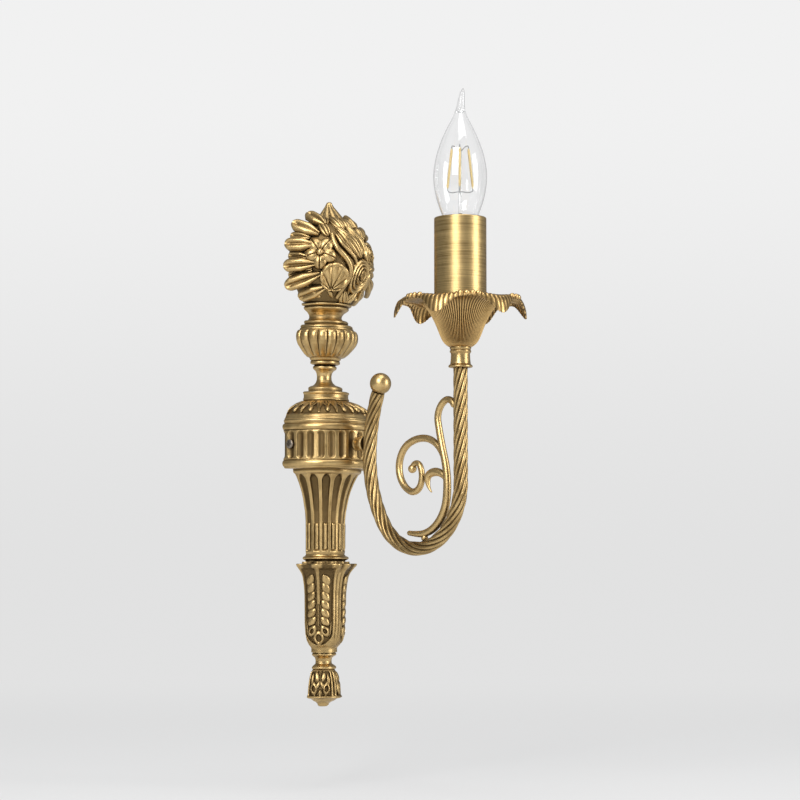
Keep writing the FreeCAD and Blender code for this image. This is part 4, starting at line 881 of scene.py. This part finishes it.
def make_scroll():
    """Scroll in the bowl of the arm: stem, large curl with a ball in its eye, and a small pointed curl."""
    shape = Shape()
    stem = trace((89.4, -60.9), -7, [(9.4, 5), (38.7, 84), (27, 25), (24, -5), (16.3, -74), (10.2, -92)])
    large = trace((122, -10.5), 115.5, [(20, 56), (17.7, 34), (40, 133), (13.2, 91.5), (11.7, 49.5),
                                        (10.3, 143)])
    small = trace((124.6, -25.3), 134, [(16, 70), (5, 70), (9, 45)])
    rod(shape, stem, [1.6, 2.3, 2.7, 2.8, 2.7, 2.6, 2.5, 2.4, 2.3, 2.3, 2.2])
    rod(shape, large, [1.8, 2.4, 2.45, 2.4, 2.4, 2.3, 2.1, 1.9])
    rod(shape, small, [1.8, 2.6, 2.9, 2.5, 1.5, 0.4])
    for (out, up, _), radius in ((large[-1], 2.9), (stem[0], 1.5), (stem[-1], 2.2)):
        shape.ball((0, -out, up), radius)
    shape.make("scroll")
    low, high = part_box("scroll_bead")
    bead = Shape()
    bead.ball((low + high) / 2 / MM, 2.3, 24, 32)
    bead.make("scroll_bead")


def make_stub():
    """Turned stub between the drum and the arm: tube, collar and the round boss that cups the rope."""
    low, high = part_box("arm_stub")
    back, front = -high.y / MM, -low.y / MM
    outline = [(2.1, back), (3.3, back), (3.3, 35.6), (4.4, 36.0), (4.6, 36.8), (4.2, 37.8)]
    outline += moved([(4.2, -4.2), (5.0, -3.8), (5.3, -3.0), (5.3, -1.2), (4.9, -0.2), (4.4, 0), (2.1, 0)],
                     up=front)
    net = full_turn(outline, sides=64, step=0.2, soften=0.12)
    shape = Shape()
    turned = np.stack([net[..., 0], -net[..., 2], net[..., 1]], -1)
    shape.net(turned, wrap_columns=True, wrap_rows=True)
    shape.make("arm_stub")


# ------------ candle stack

def make_spool():
    """Turned spool between the arm and the pan."""
    foot, top, _ = span("candle_spool")
    outline = moved([(4.15, 0), (7.2, 0), (7.9, 0.4), (7.9, 1.1), (7.3, 1.7), (6.7, 2.3), (6.35, 5), (6.2, 8),
                     (6.25, 9.3), (6.9, 9.9), (7.0, 10.8), (6.5, 11.4), (6.6, 11.8), (6.95, 12.2)], up=foot)
    outline += [(6.95, top), (4.15, top)]
    shape = Shape()
    shape.net(full_turn(outline, CANDLE_Y, 96, 0.12, 0.12), wrap_columns=True, wrap_rows=True)
    shape.make("candle_spool")


def make_pan():
    """Drip pan: fine ribs from foot to crest, six drooping leaf points and beads between each two."""
    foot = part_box("drip_pan")[0].z / MM
    leaves, ribs, turned, thick = 6, 84, -4.4 - 90, 0.9
    rib_high, crest_r, crest = 0.34, 38.6, 30.8
    columns = ribs * 8
    around = np.linspace(0, 360, columns, endpoint=False)
    leaf = (0.5 + 0.5 * np.cos(np.radians(leaves * (around - turned)))) ** 2.2
    wave = np.cos(np.radians(ribs * (around - turned)))
    side = eased([(7.3, 0), (9.5, 1.6), (11.5, 4.2), (13.2, 8.0), (14.4, 11.2), (16.0, 15.2), (17.4, 18.0),
                  (19.8, 22.4), (22.4, 26.0), (26.0, 28.4), (31.0, 29.9), (36.0, crest),
                  (crest_r, crest)], 1.1, 0.9)
    stack, marks = [np.stack([0 * around + 4.2, 0 * around], -1)], [0 * around]
    for r, h in side:
        grow, far = min(1.0, (r - 7.3) / 3), max(0.0, (r - 26) / 13)
        stack.append(np.stack([r + rib_high * grow * wave * (1 - far) + far * (leaf - 1),
                               h + rib_high * grow * wave * far - 1.4 * far ** 2 * leaf], -1))
        marks.append(unit(0.55 - 1.1 * wave * (1 - 2 * far)) * grow)
    for share in np.linspace(0.12, 1, 11):
        bent = math.sin(share * math.pi / 2)
        stack.append(np.stack([crest_r + 1.4 * bent + (leaf - 0.5) * 2.0 + 1.6 * leaf * bent,
                               crest - 1.8 * share ** 2 - (1.4 + 8.8 * share ** 1.2) * leaf
                               + 0.3 * wave * (1 - share) + 0.5 * share * np.abs(wave) - 0.25], -1))
        marks.append(unit(0.5 - 0.8 * wave))
    stack = np.array(stack)
    ahead = np.gradient(stack, axis=0)
    ahead /= np.linalg.norm(ahead, axis=-1)[..., None] + 1e-9
    upper = stack + thick * np.stack([-ahead[..., 1], ahead[..., 0]], -1)
    upper[0] = stack[0] + [0, thick]
    whole = np.concatenate([stack, upper[::-1]])
    a = np.radians(around)
    r = whole[..., 0]
    points = np.stack([r * np.cos(a), CANDLE_Y + r * np.sin(a), foot + whole[..., 1]], -1)
    shape = Shape()
    shape.net(points, wrap_rows=True, wrap_columns=True, hollow=np.concatenate([marks, marks[::-1]]))
    for k in range(leaves):
        for step in (-1.5, -0.5, 0.5, 1.5):
            b = math.radians(turned + 30 + 60 * k + 5.8 * step)
            out = 39.0 - 0.35 * step ** 2
            centre = (out * math.cos(b), CANDLE_Y + out * math.sin(b), foot + 31.0)
            shape.ball(centre, 1.85, 12, 18)
    shape.make("drip_pan")


def make_sleeve():
    """Candle sleeve: brushed tube with a rounded rim."""
    foot, top, _ = span("candle_sleeve")
    radius, wall = 17.0, 0.8
    outline = [(radius - wall, foot), (radius, foot), (radius, top - 0.6), (radius - 0.2, top - 0.1),
               (radius - 0.5, top), (radius - wall - 0.4, top - 0.1), (radius - wall - 0.4, top - 0.7),
               (radius - wall, top - 1.0)]
    shape = Shape()
    shape.net(full_turn(outline, CANDLE_Y, 128, 0.25, 0.1), wrap_columns=True, wrap_rows=True)
    shape.make("candle_sleeve")


# ------------ lamp

def make_glass():
    """Flame-tip glass with its drawn tip bent a little to one side."""
    foot, top, _ = span("lamp_glass")
    tall = top - foot
    outline = [(8.0, 0), (8.5, 0.03), (9.6, 0.075), (11.35, 0.12), (13.4, 0.175), (15.3, 0.235),
               (16.6, 0.295), (17.3, 0.35), (17.5, 0.40), (17.1, 0.455), (16.2, 0.51), (14.9, 0.565),
               (12.9, 0.625), (10.6, 0.685), (8.0, 0.74), (5.6, 0.785), (3.9, 0.825), (2.9, 0.86),
               (2.35, 0.90), (2.0, 0.94), (1.5, 0.975), (0.7, 0.995), (0.05, 1)]
    outline = [(r, foot + h * tall) for r, h in outline]
    outside = full_turn(outline, 0.0, 96, 0.7, 0.9)
    line = eased(outline, 0.7, 0.9)
    inner = [(max(r - 0.7, 0.25), z) for r, z in line if z < foot + 0.84 * tall]
    inside = full_turn(inner + [(0.02, inner[-1][1] + 0.3)], 0.0, 96, 0.7, 0.3)
    shape = Shape()
    for net in (outside, inside[::-1]):
        lean = unit((net[..., 2] - (foot + 0.8 * tall)) / (0.2 * tall)) ** 1.6
        net[..., 0] += 1.6 * lean
        net[..., 1] += CANDLE_Y - 1.2 * lean
        shape.net(net, wrap_columns=True)
    rim = np.stack([outside[0], inside[0]])
    shape.net(rim[::-1], wrap_columns=True)
    shape.net(outside[-2:], wrap_columns=True, last=True)
    shape.make("lamp_glass")


def make_filaments():
    """Filament sticks with metal ends, and the wires that carry them."""
    foot, _, _ = span("lamp_glass")
    sticks, wires = Shape(), Shape()
    rise, length, low_r, top_r = 30.5, 26.0, 8.3, 5.4
    for k in range(4):
        a = math.radians(45 + 90 * k)
        out = np.array([math.cos(a), math.sin(a), 0.0])
        axis = np.array([0.0, CANDLE_Y, foot])
        start = axis + out * low_r + [0, 0, rise]
        end = axis + out * top_r + [0, 0, rise + length]
        share = np.array([0, 0.03, 0.031, 0.969, 0.97, 1.0])[:, None]
        sticks.tube(start + (end - start) * share, [0.45, 0.45, 0.8, 0.8, 0.45, 0.45], 16)
        for tip, lift, base in ((start, -1, rise - 2.0), (end, 1, 55.4)):
            root = axis + out * 1.1 + [0, 0, base]
            knee = tip + [0, 0, 2.2 * lift]
            half_way = root * 0.5 + knee * 0.5 + [0, 0, 0.8 * lift]
            bow = np.array([root, half_way, knee, tip + [0, 0, 0.1 * lift]])
            wires.tube(eased(bow, 0.4, 0.8), 0.3, 10)
    sticks.make("lamp_filaments")
    wires.make("filament_wires")


def make_side_screws():
    """Cross-slot screw heads, each in the drum's side."""
    low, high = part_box("side_screws")
    y, z = (low.y + high.y) / 2 / MM, (low.z + high.z) / 2 / MM
    reach = high.x / MM
    outline = [(0, 0.9), (2.0, 0.85), (2.9, 0.5), (3.2, 0.0), (3.2, -0.7), (1.9, -0.7), (1.9, -7.0),
               (0, -7.0)]
    shape = Shape()
    for side in (-1, 1):
        head = full_turn(outline, 0.0, 48, 0.25, 0.1)
        a = np.arctan2(head[..., 1], head[..., 0])
        r = np.hypot(head[..., 0], head[..., 1])
        cross = np.minimum(np.abs(r * np.cos(a)), np.abs(r * np.sin(a)))
        sunk = (cross < 0.45) & (r < 2.1) & (head[..., 2] > 0.3)
        depth = head[..., 2] - 0.8 * sunk
        net = np.stack([side * (reach - 0.9 + depth), y + head[..., 0], z + head[..., 1]], -1)
        shape.net(net, wrap_columns=True)
    shape.make("side_screws")


# ------------ room, light and camera

def make_room():
    """Pale floor that curves up into a backdrop. Far from the object the camera sees its even pale tone."""
    floor_z, far, half, bend = -0.235, 6.0, 7.0, 1.5
    turn = math.radians(VIEW_TURN)
    sine, cosine = math.sin(turn), math.cos(turn)
    rows = [(-4.0, floor_z)]
    rows += [(far - bend + bend * math.sin(t), floor_z + bend * (1 - math.cos(t)))
             for t in np.linspace(0, math.pi / 2, 24)]
    rows.append((far, 7.0))
    points = [(along * sine + across * cosine, along * cosine - across * sine, z)
              for along, z in rows for across in (-half, half)]
    mesh = bpy.data.meshes.new("floor")
    mesh.from_pydata(points, [], squares(len(rows), 2))
    mesh.shade_smooth()
    floor = add_object("floor", mesh)
    n = Nodes("pale floor")
    n.set("Base Color", grey(0.90))
    n.set("Roughness", 0.9)
    n.set("Specular IOR Level", 0.1)
    parts = n.make("ShaderNodeSeparateXYZ")
    n.link(n.place, parts.inputs[0])
    along = n.math("ADD", n.math("MULTIPLY", parts.outputs["X"], sine),
                   n.math("MULTIPLY", parts.outputs["Y"], cosine))
    rays = n.make("ShaderNodeLightPath")
    seen = n.math("MAXIMUM", rays.outputs["Is Camera Ray"], rays.outputs["Is Transmission Ray"])
    even = n.make("ShaderNodeEmission")
    low_tone, high_tone = grey(0.885), grey(0.945)
    tone = n.blend(n.steps(parts.outputs["Z"], -0.2, 1.6), low_tone, high_tone)
    n.link(tone, even.inputs["Color"])
    mix = n.make("ShaderNodeMixShader")
    n.link(n.math("MULTIPLY", seen, n.steps(along, -0.4, 1.3, 0.45, 1.0)), mix.inputs[0])
    n.link(n.shader.outputs[0], mix.inputs[1])
    n.link(even.outputs[0], mix.inputs[2])
    n.link(mix.outputs[0], n.tree.nodes["Material Output"].inputs["Surface"])
    mesh.materials.append(n.material)
    world = bpy.data.worlds.new("room")
    bpy.context.scene.world = world
    world.use_nodes = True
    sky = world.node_tree.nodes["Background"].inputs
    sky["Color"].default_value = (0.92, 0.94, 0.96, 1)
    sky["Strength"].default_value = 0.35


def area_light(name, place, target, width, height, power):
    light = bpy.data.lights.new(name, "AREA")
    light.shape = "RECTANGLE"
    light.size, light.size_y = width, height
    light.energy = power
    lamp = add_object(name, light)
    lamp.location = place
    lamp.rotation_mode = "QUATERNION"
    lamp.rotation_quaternion = (Vector(target) - Vector(place)).to_track_quat("-Z", "Y")


def make_lights():
    middle = (0, -0.07, 0.03)
    area_light("key_left", (-1.6, -0.9, 1.0), middle, 0.9, 1.4, 34)
    area_light("fill_right", (0.9, -1.7, 0.5), middle, 0.7, 1.4, 19)
    area_light("top", (-0.2, -0.6, 1.8), middle, 1.2, 1.2, 14)


def make_camera():
    """Camera of the photograph, level with the room's horizon and turned up a little."""
    camera = add_object("camera", bpy.data.cameras.new("camera"))
    camera.data.sensor_width = 36
    camera.data.lens = 99
    camera.location = (-0.97066, -1.17352, -0.0774)
    camera.rotation_euler = (math.radians(90 + 4.11), 0, math.radians(-VIEW_TURN))
    bpy.context.scene.camera = camera


def finish_cad_nodes():
    """Give each CAD node that still shows its material."""
    for node, thing in frame["nodes"].items():
        thing.data.materials.clear()
        thing.data.materials.append(FINISH[SLOT_OF[node]])


finish_cad_nodes()
make_drum()
make_dome()
make_turned_castings()
make_urn()
make_shaft()
make_leaf_cup()
make_drop()
make_head()
make_arm()
make_ball()
make_scroll()
make_stub()
make_spool()
make_pan()
make_sleeve()
make_glass()
make_filaments()
make_side_screws()
make_room()
make_lights()
make_camera()
bpy.context.scene.view_settings.view_transform = "Standard"
